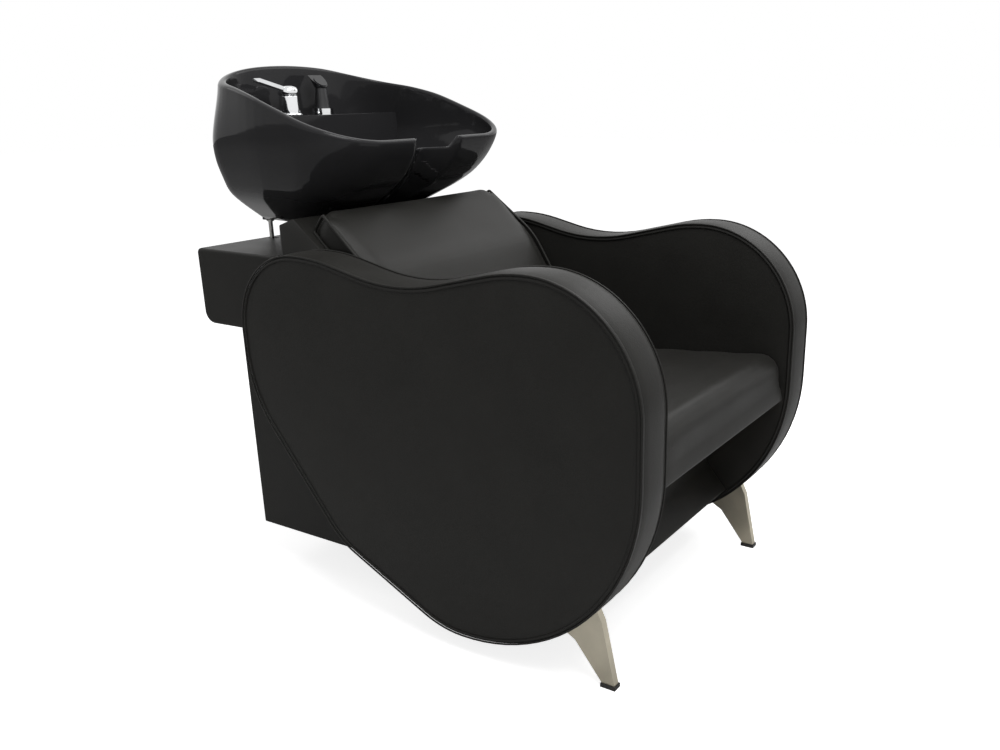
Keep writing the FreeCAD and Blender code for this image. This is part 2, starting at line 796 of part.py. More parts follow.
def make_hinges():
    frame_leaves = Part.makeCompound([hinge_leaf(-1, (0,), z) for z in hinge_bases()])
    door_leaves = Part.makeCompound([hinge_leaf(1, (1,), z) for z in hinge_bases()])
    pins = Part.makeCompound([post(hinge_pin_radius, hinge_x, hinge_y, z, z + hinge_length)
                              for z in hinge_bases()])
    return frame_leaves, door_leaves, pins


def make_door_pull():
    """Eight-sided knob on the door."""
    stem = regular_prism(pull_sides, pull_stem_radius, 0, 0, 0, pull_depth)
    grip = regular_prism(pull_sides, pull_radius, 0, 0, pull_depth / 2, pull_depth)
    pull = fuse([stem, grip])
    pull.rotate(ORIGIN, X_AXIS, -quarter_turn_deg)
    return pull.translated(V(door_half_width - pull_inset, cover_rear_y, (door_bottom_z + door_top_z) / 2))


def make_catch():
    """Magnetic catch on the cover beside the door, and its striker on the door."""
    z = (door_bottom_z + door_top_z) / 2
    face = cover_rear_y - case_wall
    half = catch_height / 2
    frame_part = box(door_half_width, door_half_width + catch_width / 2, face - catch_depth, face,
                     z - half, z + half)
    magnet = box(door_half_width - catch_width / 2, door_half_width, face - catch_depth,
                 face - striker_thickness - soft_gap, z - half, z + half)
    striker = box(door_half_width - door_gap - striker_width, door_half_width - door_gap,
                  face - striker_thickness, face, z - half, z + half)
    return fuse([frame_part, magnet]), striker


# Rear rail and feet inside the foot of the cover
def make_rail():
    reach = between_x - case_wall - soft_gap
    return box(-reach, reach, rail_y - rail_width / 2, rail_y + rail_width / 2,
               cover_bottom_z, cover_bottom_z + rail_height)


def make_rear_feet():
    tube = post(rear_foot_radius, -rear_foot_x, rail_y, rear_pad_height, cover_bottom_z)
    pad = post(rear_pad_radius, -rear_foot_x, rail_y, 0, rear_pad_height)
    return both_sides(tube), both_sides(pad)


# Bowl: one plan shape drawn in level by level to a flat base, hollowed, with a neck rest cut
# in its front rim and a raised deck for the fittings at its rear
def bowl_wire(level, z, inset):
    height, width_share, length_share, rear_share, roundness = level
    rear = bowl_rear_y - rear_share * bowl_length - inset
    half = bowl_half_width * width_share - inset
    length = bowl_length * length_share * half / (half + inset)
    rows = list(bowl_plan_shares)
    rows[rear_corner_number] = [low + (rim - low) * roundness for low, rim
                                in zip(rows[rear_corner_number], rim_corner_shares)]
    rows += [(-x, y, r, chords) for x, y, r, chords in reversed(rows[1:-1])]
    corners = [V(x * half, rear - (1 - y) * length, z) for x, y, r, chords in rows]
    return chorded_wire(corners, [r * half for x, y, r, chords in rows], [int(row[-1]) for row in rows])


def bowl_loft(inset, floor):
    wires = []
    for level in bowl_level_shares:
        height = level[0]
        z = bowl_base_z + floor + height * (bowl_height - (floor if height < 1 else 0))
        wires.append(bowl_wire(level, z, inset))
    return Part.makeLoft(wires, True, True)


def rim_cut():
    """Everything above the rim, which climbs from the neck and arches over at the rear."""
    line = [(bowl_front_y + a * bowl_length, bowl_base_z + b * bowl_height) for a, b in rim_outline_shares]
    top = bowl_base_z + bowl_height * 2
    above_line = side_prism(line + [(line[-1][0], top), (line[0][0], top)], -half_width, half_width)
    side_z = bowl_base_z + rim_arch_rise - rim_arch_slope * half_width
    corners = [V(-half_width, front_y, side_z), V(0, front_y, bowl_base_z + rim_arch_rise),
               V(half_width, front_y, side_z), V(half_width, front_y, top), V(-half_width, front_y, top)]
    radii = [soft_gap, rim_arch_radius, soft_gap, soft_gap, soft_gap]
    arch = Part.Face(chorded_wire(corners, radii, [1, rim_arch_chords, 1, 1, 1]))
    return fuse([above_line, arch.extrude(V(0, overall_length + overrun, 0))])


def neck_cut():
    """Rounded neck rest through the front rim."""
    top = bowl_base_z + bowl_height
    y0, y1 = bowl_front_y - overrun, bowl_front_y + neck_reach
    corners = [V(-neck_half_width, y0, top), V(neck_half_width, y0, top),
               V(neck_half_width, y0, neck_bottom_z), V(-neck_half_width, y0, neck_bottom_z)]
    wire = rounded_wire(corners, [soft_gap, soft_gap, neck_radius, neck_radius])
    return Part.Face(wire).extrude(V(0, y1 - y0, 0))


def make_bowl():
    outer = bowl_loft(0, 0)
    inner = bowl_loft(bowl_wall, bowl_floor)
    deck = box(-half_width, half_width, deck_front_y, rear_y + overrun, 0, deck_z)
    bowl = outer.cut(inner.cut(deck)).cut(rim_cut()).cut(neck_cut())
    pocket = box(-pocket_half_width, pocket_half_width, fitting_y - pocket_length / 2,
                 fitting_y + pocket_length / 2, bowl_base_z - overrun, deck_z - deck_thickness)
    bowl = bowl.cut(pocket)
    bowl = bowl.cut(post(drain_hole_radius, 0, drain_y, bowl_base_z - overrun, deck_z))
    for x, radius in ((mixer_x, mixer_stud_radius), (shower_x, collar_tube_radius)):
        bowl = bowl.cut(post(radius + fitting_gap, x, fitting_y, deck_z - deck_thickness - overrun,
                             deck_z + overrun))
    for x, y in carrier_bolt_places:
        hole = regular_prism(hex_sides, carrier_bolt_radius, x, y, bowl_base_z - overrun,
                             bowl_base_z + carrier_bolt_reach)
        bowl = bowl.cut(hole).cut(mirrored(hole))
    return bowl


# Waste: flanged outlet through the bowl's floor, held by nuts, with a lift-out strainer
def make_waste_flange():
    flange = post(flange_radius, 0, drain_y, flange_top_z - flange_height, flange_top_z)
    neck = post(neck_outer_radius, 0, drain_y, neck_end_z, flange_top_z - flange_height)
    body = fuse([flange, neck]).cut(post(waste_bore_radius, 0, drain_y, neck_end_z, flange_top_z))
    seat = post(strainer_seat_radius, 0, drain_y, flange_top_z - strainer_seat_depth, flange_top_z)
    return body.cut(seat)


def make_backnut():
    nut = regular_prism(slip_nut_sides, backnut_radius, 0, drain_y, bowl_base_z - backnut_height, bowl_base_z)
    return nut.cut(post(neck_outer_radius, 0, drain_y, bowl_base_z - backnut_height, bowl_base_z))


def make_slip_nut():
    nut = regular_prism(slip_nut_sides, slip_nut_radius, 0, drain_y, neck_end_z, neck_end_z + slip_nut_height)
    return nut.cut(post(neck_outer_radius, 0, drain_y, neck_end_z, neck_end_z + slip_nut_height))


def make_waste_pipe():
    pipe = post(pipe_radius, 0, drain_y, pipe_end_z, neck_end_z)
    return pipe.cut(post(waste_bore_radius, 0, drain_y, pipe_end_z, neck_end_z))


def make_strainer():
    rim_base = flange_top_z - strainer_seat_depth
    rim = post(strainer_rim_radius, 0, drain_y, rim_base, flange_top_z)
    cup = regular_prism(strainer_sides, strainer_radius, 0, drain_y, rim_base - strainer_depth, rim_base)
    grip = regular_prism(strainer_sides, strainer_grip_radius, 0, drain_y, flange_top_z,
                         flange_top_z + strainer_grip_height)
    strainer = fuse([rim, cup, grip])
    for i in range(strainer_hole_count):
        turn = 2 * math.pi * i / strainer_hole_count
        x = strainer_hole_circle * math.cos(turn)
        y = drain_y + strainer_hole_circle * math.sin(turn)
        strainer = strainer.cut(regular_prism(hex_sides, strainer_hole_radius, x, y, rim_base - strainer_depth,
                                              flange_top_z))
    return strainer


# Tilt: a carrier plate under the bowl turns on a shaft in two ears, two rods stop and guide it,
# and a star knob on the shaft clamps it
def make_carrier():
    top = bowl_base_z
    rear = carrier_arm_y + carrier_arm_width / 2
    radius = carrier_corner_radius
    neck_y = carrier_arm_y - carrier_arm_width / 2
    outline = [(-carrier_half_width, carrier_front_y), (carrier_half_width, carrier_front_y),
               (carrier_half_width, neck_y), (carrier_arm_half_width, neck_y),
               (carrier_arm_half_width, rear), (-carrier_arm_half_width, rear),
               (-carrier_arm_half_width, neck_y), (-carrier_half_width, neck_y)]
    wire = rounded_wire([V(x, y, carrier_base_z) for x, y in outline], [radius] * len(outline))
    plate = Part.Face(wire).extrude(V(0, 0, carrier_thickness))
    flange_x = carrier_half_width - carrier_thickness
    ear = pin(carrier_flange_radius, flange_x, carrier_half_width, pivot_y, pivot_z)
    web = box(flange_x, carrier_half_width, pivot_y - carrier_flange_radius,
              pivot_y + carrier_flange_radius, pivot_z, carrier_base_z + carrier_thickness / 2)
    ear = fuse([ear, web])
    carrier = fuse([plate, ear, mirrored(ear)])
    bore = pin(bush_outer_radius, -carrier_half_width, carrier_half_width, pivot_y, pivot_z)
    window = post(carrier_window_radius, 0, drain_y, carrier_base_z, top)
    pocket = box(-pocket_half_width + radius, pocket_half_width - radius, fitting_y - pocket_length / 2,
                 fitting_y + pocket_length / 2, carrier_base_z, top)
    carrier = carrier.cut(bore).cut(window).cut(pocket)
    for x, y in carrier_bolt_places:
        hole = regular_prism(hex_sides, carrier_bolt_radius, x, y, carrier_base_z, top)
        carrier = carrier.cut(hole).cut(mirrored(hole))
    hole = post(rod_radius, rod_x, carrier_arm_y, carrier_base_z, top)
    return carrier.cut(hole).cut(mirrored(hole))


def make_carrier_bolts():
    bolts = []
    for x, y in carrier_bolt_places:
        shank = regular_prism(hex_sides, carrier_bolt_radius, x, y, carrier_base_z,
                              bowl_base_z + carrier_bolt_reach)
        head = regular_prism(hex_sides, carrier_bolt_head_radius, x, y,
                             carrier_base_z - carrier_bolt_head_height, carrier_base_z)
        bolts.append(fuse([shank, head]))
    return both_sides(Part.makeCompound(bolts))


def make_bushes():
    """Flanged bushes in the carrier's two ears."""
    start = carrier_half_width - carrier_thickness
    body = pin(bush_outer_radius, start, carrier_half_width, pivot_y, pivot_z)
    flange = pin(bush_flange_radius, carrier_half_width, carrier_half_width + bush_flange_thickness,
                 pivot_y, pivot_z)
    bore = pin(shaft_radius + running_clearance, start, ear_inner_x, pivot_y, pivot_z)
    return both_sides(fuse([body, flange]).cut(bore))


def ear_screw_places():
    x = ear_outer_x + (ear_foot_length - ear_thickness) / 2
    return [(x, pivot_y + side * ear_screw_spacing / 2) for side in (-1, 1)]


def make_ears():
    """Angle brackets on the shelf that carry the shaft."""
    upright = fuse([pin(ear_radius, ear_inner_x, ear_outer_x, pivot_y, pivot_z),
                    box(ear_inner_x, ear_outer_x, pivot_y - ear_radius, pivot_y + ear_radius,
                        shelf_top_z, pivot_z)])
    half = ear_foot_depth / 2
    foot = box(ear_inner_x, ear_inner_x + ear_foot_length, pivot_y - half, pivot_y + half,
               shelf_top_z, shelf_top_z + ear_foot_thickness)
    ear = fuse([upright, foot]).cut(pin(shaft_radius, ear_inner_x, ear_outer_x, pivot_y, pivot_z))
    for x, y in ear_screw_places():
        ear = ear.cut(regular_prism(hex_sides, ear_screw_radius, x, y, shelf_top_z,
                                    shelf_top_z + ear_foot_thickness))
    return both_sides(ear)


def make_ear_screws():
    top = shelf_top_z + ear_foot_thickness
    screws = []
    for x, y in ear_screw_places():
        shank = regular_prism(hex_sides, ear_screw_radius, x, y, top - ear_screw_length, top)
        head = regular_prism(hex_sides, ear_screw_head_radius, x, y, top, top + ear_screw_head_height)
        screws.append(fuse([shank, head]))
    return both_sides(Part.makeCompound(screws))


def make_shaft():
    end = ear_outer_x + soft_gap + knob_thickness / 2
    shaft = pin(shaft_radius, -ear_outer_x, end, pivot_y, pivot_z)
    head = pin(shaft_head_radius, -ear_outer_x - shaft_head_length, -ear_outer_x, pivot_y, pivot_z)
    return fuse([shaft, head])


def make_knob():
    """Star knob threaded on the shaft's end."""
    x0 = ear_outer_x + soft_gap
    corners = []
    for i in range(2 * knob_lobe_count):
        turn = math.pi * i / knob_lobe_count
        radius = knob_radius if i % 2 else knob_radius - knob_groove
        corners.append(V(x0, pivot_y + radius * math.cos(turn), pivot_z + radius * math.sin(turn)))
    knob = sharp_face(corners).extrude(V(knob_thickness, 0, 0))
    return knob.cut(pin(shaft_radius + running_clearance, x0, x0 + knob_thickness / 2 + soft_gap,
                        pivot_y, pivot_z))


def make_rods():
    return both_sides(post(rod_radius, rod_x, carrier_arm_y, rod_end_z, bowl_base_z))


def make_rod_nuts():
    """Lock nut under the carrier's arm and stop nut under the shelf's top, on each rod."""
    stop_top = shelf_top_z - case_wall - soft_gap
    nuts = []
    for base in (carrier_base_z - rod_nut_height, stop_top - rod_nut_height):
        nut = regular_prism(hex_sides, rod_nut_radius, rod_x, carrier_arm_y, base, base + rod_nut_height)
        nuts.append(nut.cut(post(rod_radius, rod_x, carrier_arm_y, base, base + rod_nut_height)))
    return both_sides(Part.makeCompound(nuts))


# Mixer: base, body, a cap that swivels and a lever that lifts in the cap's slot
def make_mixer_base():
    base = post(mixer_base_radius, mixer_x, fitting_y, deck_z, mixer_seat_z)
    return base.cut(post(mixer_stud_radius + fitting_gap, mixer_x, fitting_y, deck_z, mixer_seat_z))


def make_mixer_body():
    body = post(mixer_body_radius, mixer_x, fitting_y, mixer_seat_z, mixer_top_z)
    return fuse([body, post(mixer_stud_radius, mixer_x, fitting_y, mixer_stud_end_z, mixer_seat_z)])


def deck_nut(x, bore):
    top = deck_z - deck_thickness
    nut = regular_prism(hex_sides, deck_nut_radius, x, fitting_y, top - deck_nut_height, top)
    return nut.cut(post(bore, x, fitting_y, top - deck_nut_height, top))


def lever_pivot():
    return mixer_x, mixer_top_z + fitting_gap + mixer_cap_height / 2


def make_mixer_cap():
    low = mixer_top_z + fitting_gap
    cap = post(mixer_cap_radius, mixer_x, fitting_y, low, low + mixer_cap_height)
    half = lever_width / 2 + fitting_gap
    x, z = lever_pivot()
    slot = box(x - mixer_cap_radius - overrun, x + lever_slot_depth / 2, fitting_y - half,
               fitting_y + half, z - lever_thickness, low + mixer_cap_height + overrun)
    bore = Part.makeCylinder(lever_pin_radius, 2 * mixer_cap_radius,
                             V(x, fitting_y - mixer_cap_radius, z), Y_AXIS)
    return cap.cut(slot).cut(bore)


def make_lever():
    """Handle pinned in the cap's slot, rising towards its wider tip."""
    x, z = lever_pivot()
    half_root, half_tip = lever_width / 2, lever_tip_width / 2
    root_end = x - mixer_cap_radius - fitting_gap
    tip_x = root_end - lever_reach
    base = z - lever_thickness / 2
    hub = Part.makeCylinder(lever_thickness / 2 + fitting_gap, lever_width,
                            V(x, fitting_y - half_root, z), Y_AXIS)
    corners = [V(x, fitting_y - half_root, base), V(x, fitting_y + half_root, base),
               V(root_end, fitting_y + half_root, base), V(tip_x, fitting_y + half_tip, base),
               V(tip_x, fitting_y - half_tip, base), V(root_end, fitting_y - half_root, base)]
    blade = sharp_face(corners).extrude(V(0, 0, lever_thickness))
    lever = fuse([blade, hub])
    lever.rotate(V(x, fitting_y, z), Y_AXIS, lever_rise_deg)
    bore = Part.makeCylinder(lever_pin_radius + running_clearance, lever_width,
                             V(x, fitting_y - half_root, z), Y_AXIS)
    return lever.cut(bore)


def make_lever_pin():
    x, z = lever_pivot()
    length = 2 * math.sqrt(mixer_cap_radius ** 2 - lever_pin_radius ** 2)
    return Part.makeCylinder(lever_pin_radius, length, V(x, fitting_y - length / 2, z), Y_AXIS)


# Hand shower: a handle with a tilted head, standing in a collar on the deck
def make_collar():
    ring = post(collar_radius, shower_x, fitting_y, deck_z, collar_top_z)
    tube = post(collar_tube_radius, shower_x, fitting_y, collar_tube_end_z, deck_z)
    bore = post(collar_bore_radius, shower_x, fitting_y, collar_tube_end_z, collar_top_z)
    return fuse([ring, tube]).cut(bore)


def make_hand_shower():
    """Handle that widens into a head cut off at a slant, and the spray plate on the cut."""
    base = collar_top_z
    stem = post(shower_stem_radius, shower_x, fitting_y, base - shower_stem_depth, base)
    grip_top = base + shower_grip_height
    grip = Part.makeCone(shower_seat_radius, shower_grip_radius, shower_grip_height,
                         V(shower_x, fitting_y, base), Z_AXIS)
    head = Part.makeCone(shower_grip_radius, shower_head_radius, shower_head_height,
                         V(shower_x, fitting_y, grip_top), Z_AXIS)
    centre = V(shower_x, fitting_y, grip_top + shower_head_height / 2)
    slant = box(-shower_head_height, shower_head_height, -shower_head_height, shower_head_height,
                0, 2 * shower_head_height)
    slant.rotate(ORIGIN, X_AXIS, shower_slant_deg)
    slant.translate(centre)
    body = fuse([stem, grip, head]).cut(slant)
    plate = Part.makeCylinder(shower_face_radius, shower_face_thickness, ORIGIN, Z_AXIS)
    plate.rotate(ORIGIN, X_AXIS, shower_slant_deg)
    plate.translate(centre)
    return body, plate


os.makedirs("parts", exist_ok=True)

band, outer_panel, inner_panel, core = make_arm()
save_sides("arm_band", band)
save_sides("arm_outer_panel", outer_panel)
save_sides("arm_inner_panel", inner_panel)
save_sides("arm_core", core)
save_sides("front_leg", make_leg())
save("leg_bolts", both_sides(Part.makeCompound(left_leg_bolts())))
save("front_leg_pads", both_sides(make_leg_pad()))
save("seat_cushion", make_seat_cushion())
save("seat_board", make_seat_board())
save("front_cross_tube", make_cross_tube(tube_places_y[0]))
save("rear_cross_tube", make_cross_tube(tube_places_y[1]))
save("frame_screws", both_sides(Part.makeCompound(left_frame_screws())))
save("kick_panel", make_kick_panel())
save("underside_board", make_underside_board())
save("back_block", make_block())
save("back_cushion", make_back_cushion())
save("rear_shelf", make_shelf())
save("plumbing_cover", make_cover())
save("access_door", make_door())
frame_leaves, door_leaves, hinge_pins = make_hinges()
save("hinge_frame_leaves", frame_leaves)
save("hinge_door_leaves", door_leaves)
save("hinge_pins", hinge_pins)
save("door_pull", make_door_pull())
magnet_catch, striker = make_catch()
save("magnet_catch", magnet_catch)
save("catch_striker", striker)
save("rear_rail", make_rail())
rear_feet, rear_pads = make_rear_feet()
save("rear_feet", rear_feet)
save("rear_foot_pads", rear_pads)
save("bowl", make_bowl())
save("waste_flange", make_waste_flange())
save("waste_backnut", make_backnut())
save("waste_slip_nut", make_slip_nut())
save("waste_pipe", make_waste_pipe())
save("strainer", make_strainer())
save("bowl_carrier", make_carrier())
save("carrier_bolts", make_carrier_bolts())
save("pivot_bushes", make_bushes())
save("pivot_ears", make_ears())
save("ear_screws", make_ear_screws())
save("pivot_shaft", make_shaft())
save("clamp_knob", make_knob())
save("stay_rods", make_rods())
save("rod_nuts", make_rod_nuts())
save("mixer_base", make_mixer_base())
save("mixer_body", make_mixer_body())
save("mixer_nut", deck_nut(mixer_x, mixer_stud_radius))
save("mixer_cap", make_mixer_cap())
save("mixer_lever", make_lever())
save("lever_pin", make_lever_pin())
save("shower_collar", make_collar())
save("collar_nut", deck_nut(shower_x, collar_tube_radius))
hand_shower, spray_face = make_hand_shower()
save("hand_shower", hand_shower)
save("spray_face", spray_face)
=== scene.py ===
import bpy
import bmesh
import math
from mathutils import Matrix, Vector


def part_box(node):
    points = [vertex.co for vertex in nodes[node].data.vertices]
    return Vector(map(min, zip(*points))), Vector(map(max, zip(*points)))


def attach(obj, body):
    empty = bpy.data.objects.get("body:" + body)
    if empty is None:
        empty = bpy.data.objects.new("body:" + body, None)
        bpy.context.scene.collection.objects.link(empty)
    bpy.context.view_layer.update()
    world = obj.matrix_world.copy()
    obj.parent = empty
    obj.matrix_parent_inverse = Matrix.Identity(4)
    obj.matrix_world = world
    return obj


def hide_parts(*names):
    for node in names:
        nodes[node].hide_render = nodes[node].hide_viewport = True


# A salon backwash unit: an upholstered chair between two wave-shaped arms, with a tilting
# ceramic bowl over its back. Metres, +Z up, the chair faces -Y, in the frame of the CAD model.
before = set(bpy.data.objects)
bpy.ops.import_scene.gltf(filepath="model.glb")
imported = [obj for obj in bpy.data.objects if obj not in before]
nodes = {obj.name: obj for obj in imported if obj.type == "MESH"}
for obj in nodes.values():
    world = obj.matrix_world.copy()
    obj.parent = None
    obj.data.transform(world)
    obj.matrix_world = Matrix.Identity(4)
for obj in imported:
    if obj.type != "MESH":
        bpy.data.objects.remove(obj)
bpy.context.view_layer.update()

# Camera: before the chair, off its left arm and about level with the bowl, turned down a little.
# Place, turns, lens and shift were fitted together, so that the chair's outlines fall in place.
camera_place = (-1.4787, -1.1059, 0.9355)
view_turn_deg, view_fall_deg, view_roll_deg = -58.15, 18.60, -0.49
lens_mm, sensor_mm = 34.52, 36.0
shift_right, shift_up = -0.0751, 0.0361
eye = bpy.data.cameras.new("camera")
eye.lens, eye.sensor_width = lens_mm, sensor_mm
eye.sensor_fit = "HORIZONTAL"
eye.shift_x, eye.shift_y = shift_right, shift_up
camera = bpy.data.objects.new("camera", eye)
bpy.context.scene.collection.objects.link(camera)
camera.matrix_world = (Matrix.Translation(camera_place)
                       @ Matrix.Rotation(math.radians(view_turn_deg), 4, "Z")
                       @ Matrix.Rotation(math.radians(90 - view_fall_deg), 4, "X")
                       @ Matrix.Rotation(math.radians(view_roll_deg), 4, "Z"))
bpy.context.scene.camera = camera

# Arms: two thick wave-shaped side cheeks, each a plywood box with a padded band of black
# leatherette stapled over its rim and a padded panel sewn into each face along a piped seam.
arm_corner_shares = (
    (0.0000, 1.0000, 0.2400), (0.0000, 0.0000, 0.4200), (0.4756, 0.0000, 0.2314),
    (0.7561, 0.1756, 0.1830), (1.0000, 0.5750, 0.3045), (1.0000, 0.9830, 0.1766),
    (0.7637, 0.9830, 0.4260), (0.5478, 0.9200, 0.4530), (0.2862, 1.0000, 0.3776))
band_roll, band_roll_steps, band_crown, band_strips = 0.0080, 5, 0.0022, 8
seam_width, seam_depth = 0.0022, 0.0110
piping_radius, piping_sides, piping_sink = 0.0016, 8, 0.0012
panel_depth, panel_roll, panel_sink = 0.0110, 0.0035, 0.0020
panel_crown, panel_crown_reach, panel_cell = 0.0032, 0.050, 0.022
panel_roll_steps, band_lip, arc_step_deg = 4, 0.0006, 4.0
facing_x, facing_out = 0.99, 0.05
arc_merge, mesh_merge, cut_reach = 0.00002, 0.000002, 0.00001
leather_black, leather_shine = (0.0170, 0.0166, 0.0152), 0.12
arm_roughness, arm_wave_height = 0.44, 0.0030
patch_scale, wave_scale, pebble_scale, crease_scale = 11.0, 5.5, 620.0, 260.0
grain_height = 0.0004


def new_finish(name, colour, roughness, metallic=0.0):
    """Material with one plain shader, its node tree and that shader."""
    finish = bpy.data.materials.new(name)
    finish.use_nodes = True
    shader = finish.node_tree.nodes["Principled BSDF"]
    shader.inputs["Base Color"].default_value = (*colour, 1)
    shader.inputs["Roughness"].default_value = roughness
    shader.inputs["Metallic"].default_value = metallic
    return finish, finish.node_tree, shader


def add_node(tree, kind, links=(), **values):
    """Node of a kind, with named inputs set and (input, socket) pairs linked."""
    node = tree.nodes.new("ShaderNode" + kind)
    for key, value in values.items():
        node.inputs[key.replace("_", " ")].default_value = value
    for key, socket in links:
        tree.links.new(socket, node.inputs[key])
    return node


def uneven(tree, shader, place, scale, low, high):
    """Slow blotches over a surface that carry its roughness between low and high."""
    noise = add_node(tree, "TexNoise", [("Vector", place)], Scale=scale, Detail=4.0)
    spread = add_node(tree, "MapRange", [("Value", noise.outputs["Fac"])],
                      From_Min=0.3, From_Max=0.7, To_Min=low, To_Max=high)
    tree.links.new(spread.outputs["Result"], shader.inputs["Roughness"])
    return noise


def tinted(tree, shader, noise, dark, light):
    """Colour that drifts between two tones with a noise."""
    ramp = tree.nodes.new("ShaderNodeValToRGB")
    for stop, place, tone in zip(ramp.color_ramp.elements, (0.32, 0.68), (dark, light)):
        stop.position, stop.color = place, (*tone, 1)
    tree.links.new(noise.outputs["Fac"], ramp.inputs["Fac"])
    tree.links.new(ramp.outputs["Color"], shader.inputs["Base Color"])


def leatherette(name, colour, roughness, wave_height):
    """Vinyl cover: pebbled grain, patches of sheen and slow waves of the foam under it."""
    finish, tree, shader = new_finish(name, colour, roughness)
    place = tree.nodes.new("ShaderNodeTexCoord").outputs["Object"]
    tone = uneven(tree, shader, place, patch_scale, roughness - 0.03, roughness + 0.04)
    tinted(tree, shader, tone, [c * 0.94 for c in colour], [c * 1.07 for c in colour])
    shader.inputs["Specular IOR Level"].default_value = leather_shine
    waves = add_node(tree, "TexNoise", [("Vector", place)], Scale=wave_scale, Detail=2.0)
    slow = add_node(tree, "Bump", [("Height", waves.outputs["Fac"])], Strength=0.5,
                    Distance=wave_height)
    pebbles = add_node(tree, "TexVoronoi", [("Vector", place)], Scale=pebble_scale)
    creases = add_node(tree, "TexNoise", [("Vector", place)], Scale=crease_scale, Detail=3.0)
    grain = add_node(tree, "Math", [(0, pebbles.outputs["Distance"]), (1, creases.outputs["Fac"])])
    fine = add_node(tree, "Bump", [("Height", grain.outputs["Value"]),
                                   ("Normal", slow.outputs["Normal"])],
                    Strength=0.35, Distance=grain_height)
    tree.links.new(fine.outputs["Normal"], shader.inputs["Normal"])
    return finish


def outline(bm, corners, radii, axis, step_deg=5.0):
    """Flat face inside straight runs that are joined by an arc at each corner."""
    corners, axis = [Vector(corner) for corner in corners], Vector(axis)
    arcs = []
    for i, corner in enumerate(corners):
        back = (corners[i - 1] - corner).normalized()
        ahead = (corners[(i + 1) % len(corners)] - corner).normalized()
        half = back.angle(ahead) / 2
        centre = corner + (back + ahead).normalized() * radii[i] / math.sin(half)
        first = corner + back * radii[i] / math.tan(half)
        turn = math.pi - 2 * half
        side = 1 if back.cross(ahead).dot(axis) < 0 else -1
        start = bm.verts.new(first)
        steps = max(2, math.ceil(math.degrees(turn) / step_deg))
        swept = bmesh.ops.spin(bm, geom=[start], cent=centre, axis=axis, angle=side * turn,
                               steps=steps, use_duplicate=False)
        last = next(g for g in swept["geom_last"] if isinstance(g, bmesh.types.BMVert))
        arcs.append((start, last))
    for i, arc in enumerate(arcs):
        bm.edges.new((arc[1], arcs[(i + 1) % len(arcs)][0]))
    bmesh.ops.remove_doubles(bm, verts=bm.verts, dist=arc_merge)
    return bmesh.ops.contextual_create(bm, geom=bm.edges[:])["faces"][0]


def drawn_out(bm, face, way):
    """The face drawn out along a vector into a closed slab; gives its two end faces."""
    moved = bmesh.ops.extrude_face_region(bm, geom=[face], use_keep_orig=True)["geom"]
    bmesh.ops.translate(bm, vec=way, verts=[g for g in moved if isinstance(g, bmesh.types.BMVert)])
    far = next(g for g in moved if isinstance(g, bmesh.types.BMFace))
    bmesh.ops.recalc_face_normals(bm, faces=bm.faces)
    return face, far


def rolled(bm, faces, width, steps):
    """Rims of the faces rounded off."""
    rims = {edge for face in faces for edge in face.edges}
    bmesh.ops.bevel(bm, geom=list(rims), offset=width, segments=steps, profile=0.5, affect="EDGES",
                    material=-1, clamp_overlap=False)


def end_faces(bm, x=None):
    """The two widest faces that look along X, or of these the one nearest to x."""
    flat = [f for f in bm.faces if abs(f.normal.x) > facing_x]
    flat = sorted(flat, key=lambda f: -f.calc_area())[:2]
    return flat if x is None else min(flat, key=lambda f: abs(f.calc_center_median().x - x))


def finished(name, bm, finish, body, even=True):
    """Object of a closed mesh, outward, smooth, in one finish, riding on its body."""
    bmesh.ops.remove_doubles(bm, verts=bm.verts, dist=mesh_merge)
    bmesh.ops.recalc_face_normals(bm, faces=bm.faces)
    for face in bm.faces:
        face.smooth = True
    mesh = bpy.data.meshes.new(name)
    bm.to_mesh(mesh)
    bm.free()
    piece = bpy.data.objects.new(name, mesh)
    bpy.context.scene.collection.objects.link(piece)
    mesh.materials.append(finish)
    if even:
        piece.modifiers.new("even_shading", "WEIGHTED_NORMAL").keep_sharp = True
    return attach(piece, body)


def covers(piece, slot, *replaced, fill=None):
    """Hides the nodes that a piece replaces; the piece, its slot and its fill are not used."""
    if replaced:
        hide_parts(*replaced)


def ringed(bm, rings, closed=False):
    """Wall of quads over rings of points, one row between each two."""
    rows = [[bm.verts.new(point) for point in ring] for ring in rings]
    for lower, upper in list(zip(rows, rows[1:])) + ([(rows[-1], rows[0])] if closed else []):
        for i in range(len(lower)):
            j = (i + 1) % len(lower)
            bm.faces.new((lower[i], lower[j], upper[j], upper[i]))
    return rows


def piping(bm, points, radius, proud=0.0):
    """Thin round cord on a closed loop of points that lies across X, moved out by proud."""
    turns = [2 * math.pi * k / piping_sides for k in range(piping_sides)]
    rings = []
    for i, point in enumerate(points):
        run = (points[(i + 1) % len(points)] - points[i - 1]).normalized()
        out = run.cross(Vector((1, 0, 0))).normalized()
        up = out.cross(run)
        rings.append([point + out * (proud + radius * math.cos(turn)) + up * radius * math.sin(turn)
                      for turn in turns])
    ringed(bm, rings, closed=True)


def arm_outline(bm, x, side, inset=0.0):
    """Face in the arm's outline at x, drawn in by an inset."""
    low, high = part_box(side + "_arm_band")
    length, height = high.y - low.y, high.z - low.z
    corners = [(x, low.y + a * length, low.z + b * height) for a, b, r in arm_corner_shares]
    radii = [r * length for a, b, r in arm_corner_shares]
    face = outline(bm, corners, radii, (1, 0, 0), arc_step_deg)
    if inset:
        ring = bmesh.ops.inset_region(bm, faces=[face], thickness=inset, use_even_offset=True)
        bmesh.ops.delete(bm, geom=ring["faces"], context="FACES")
    return face


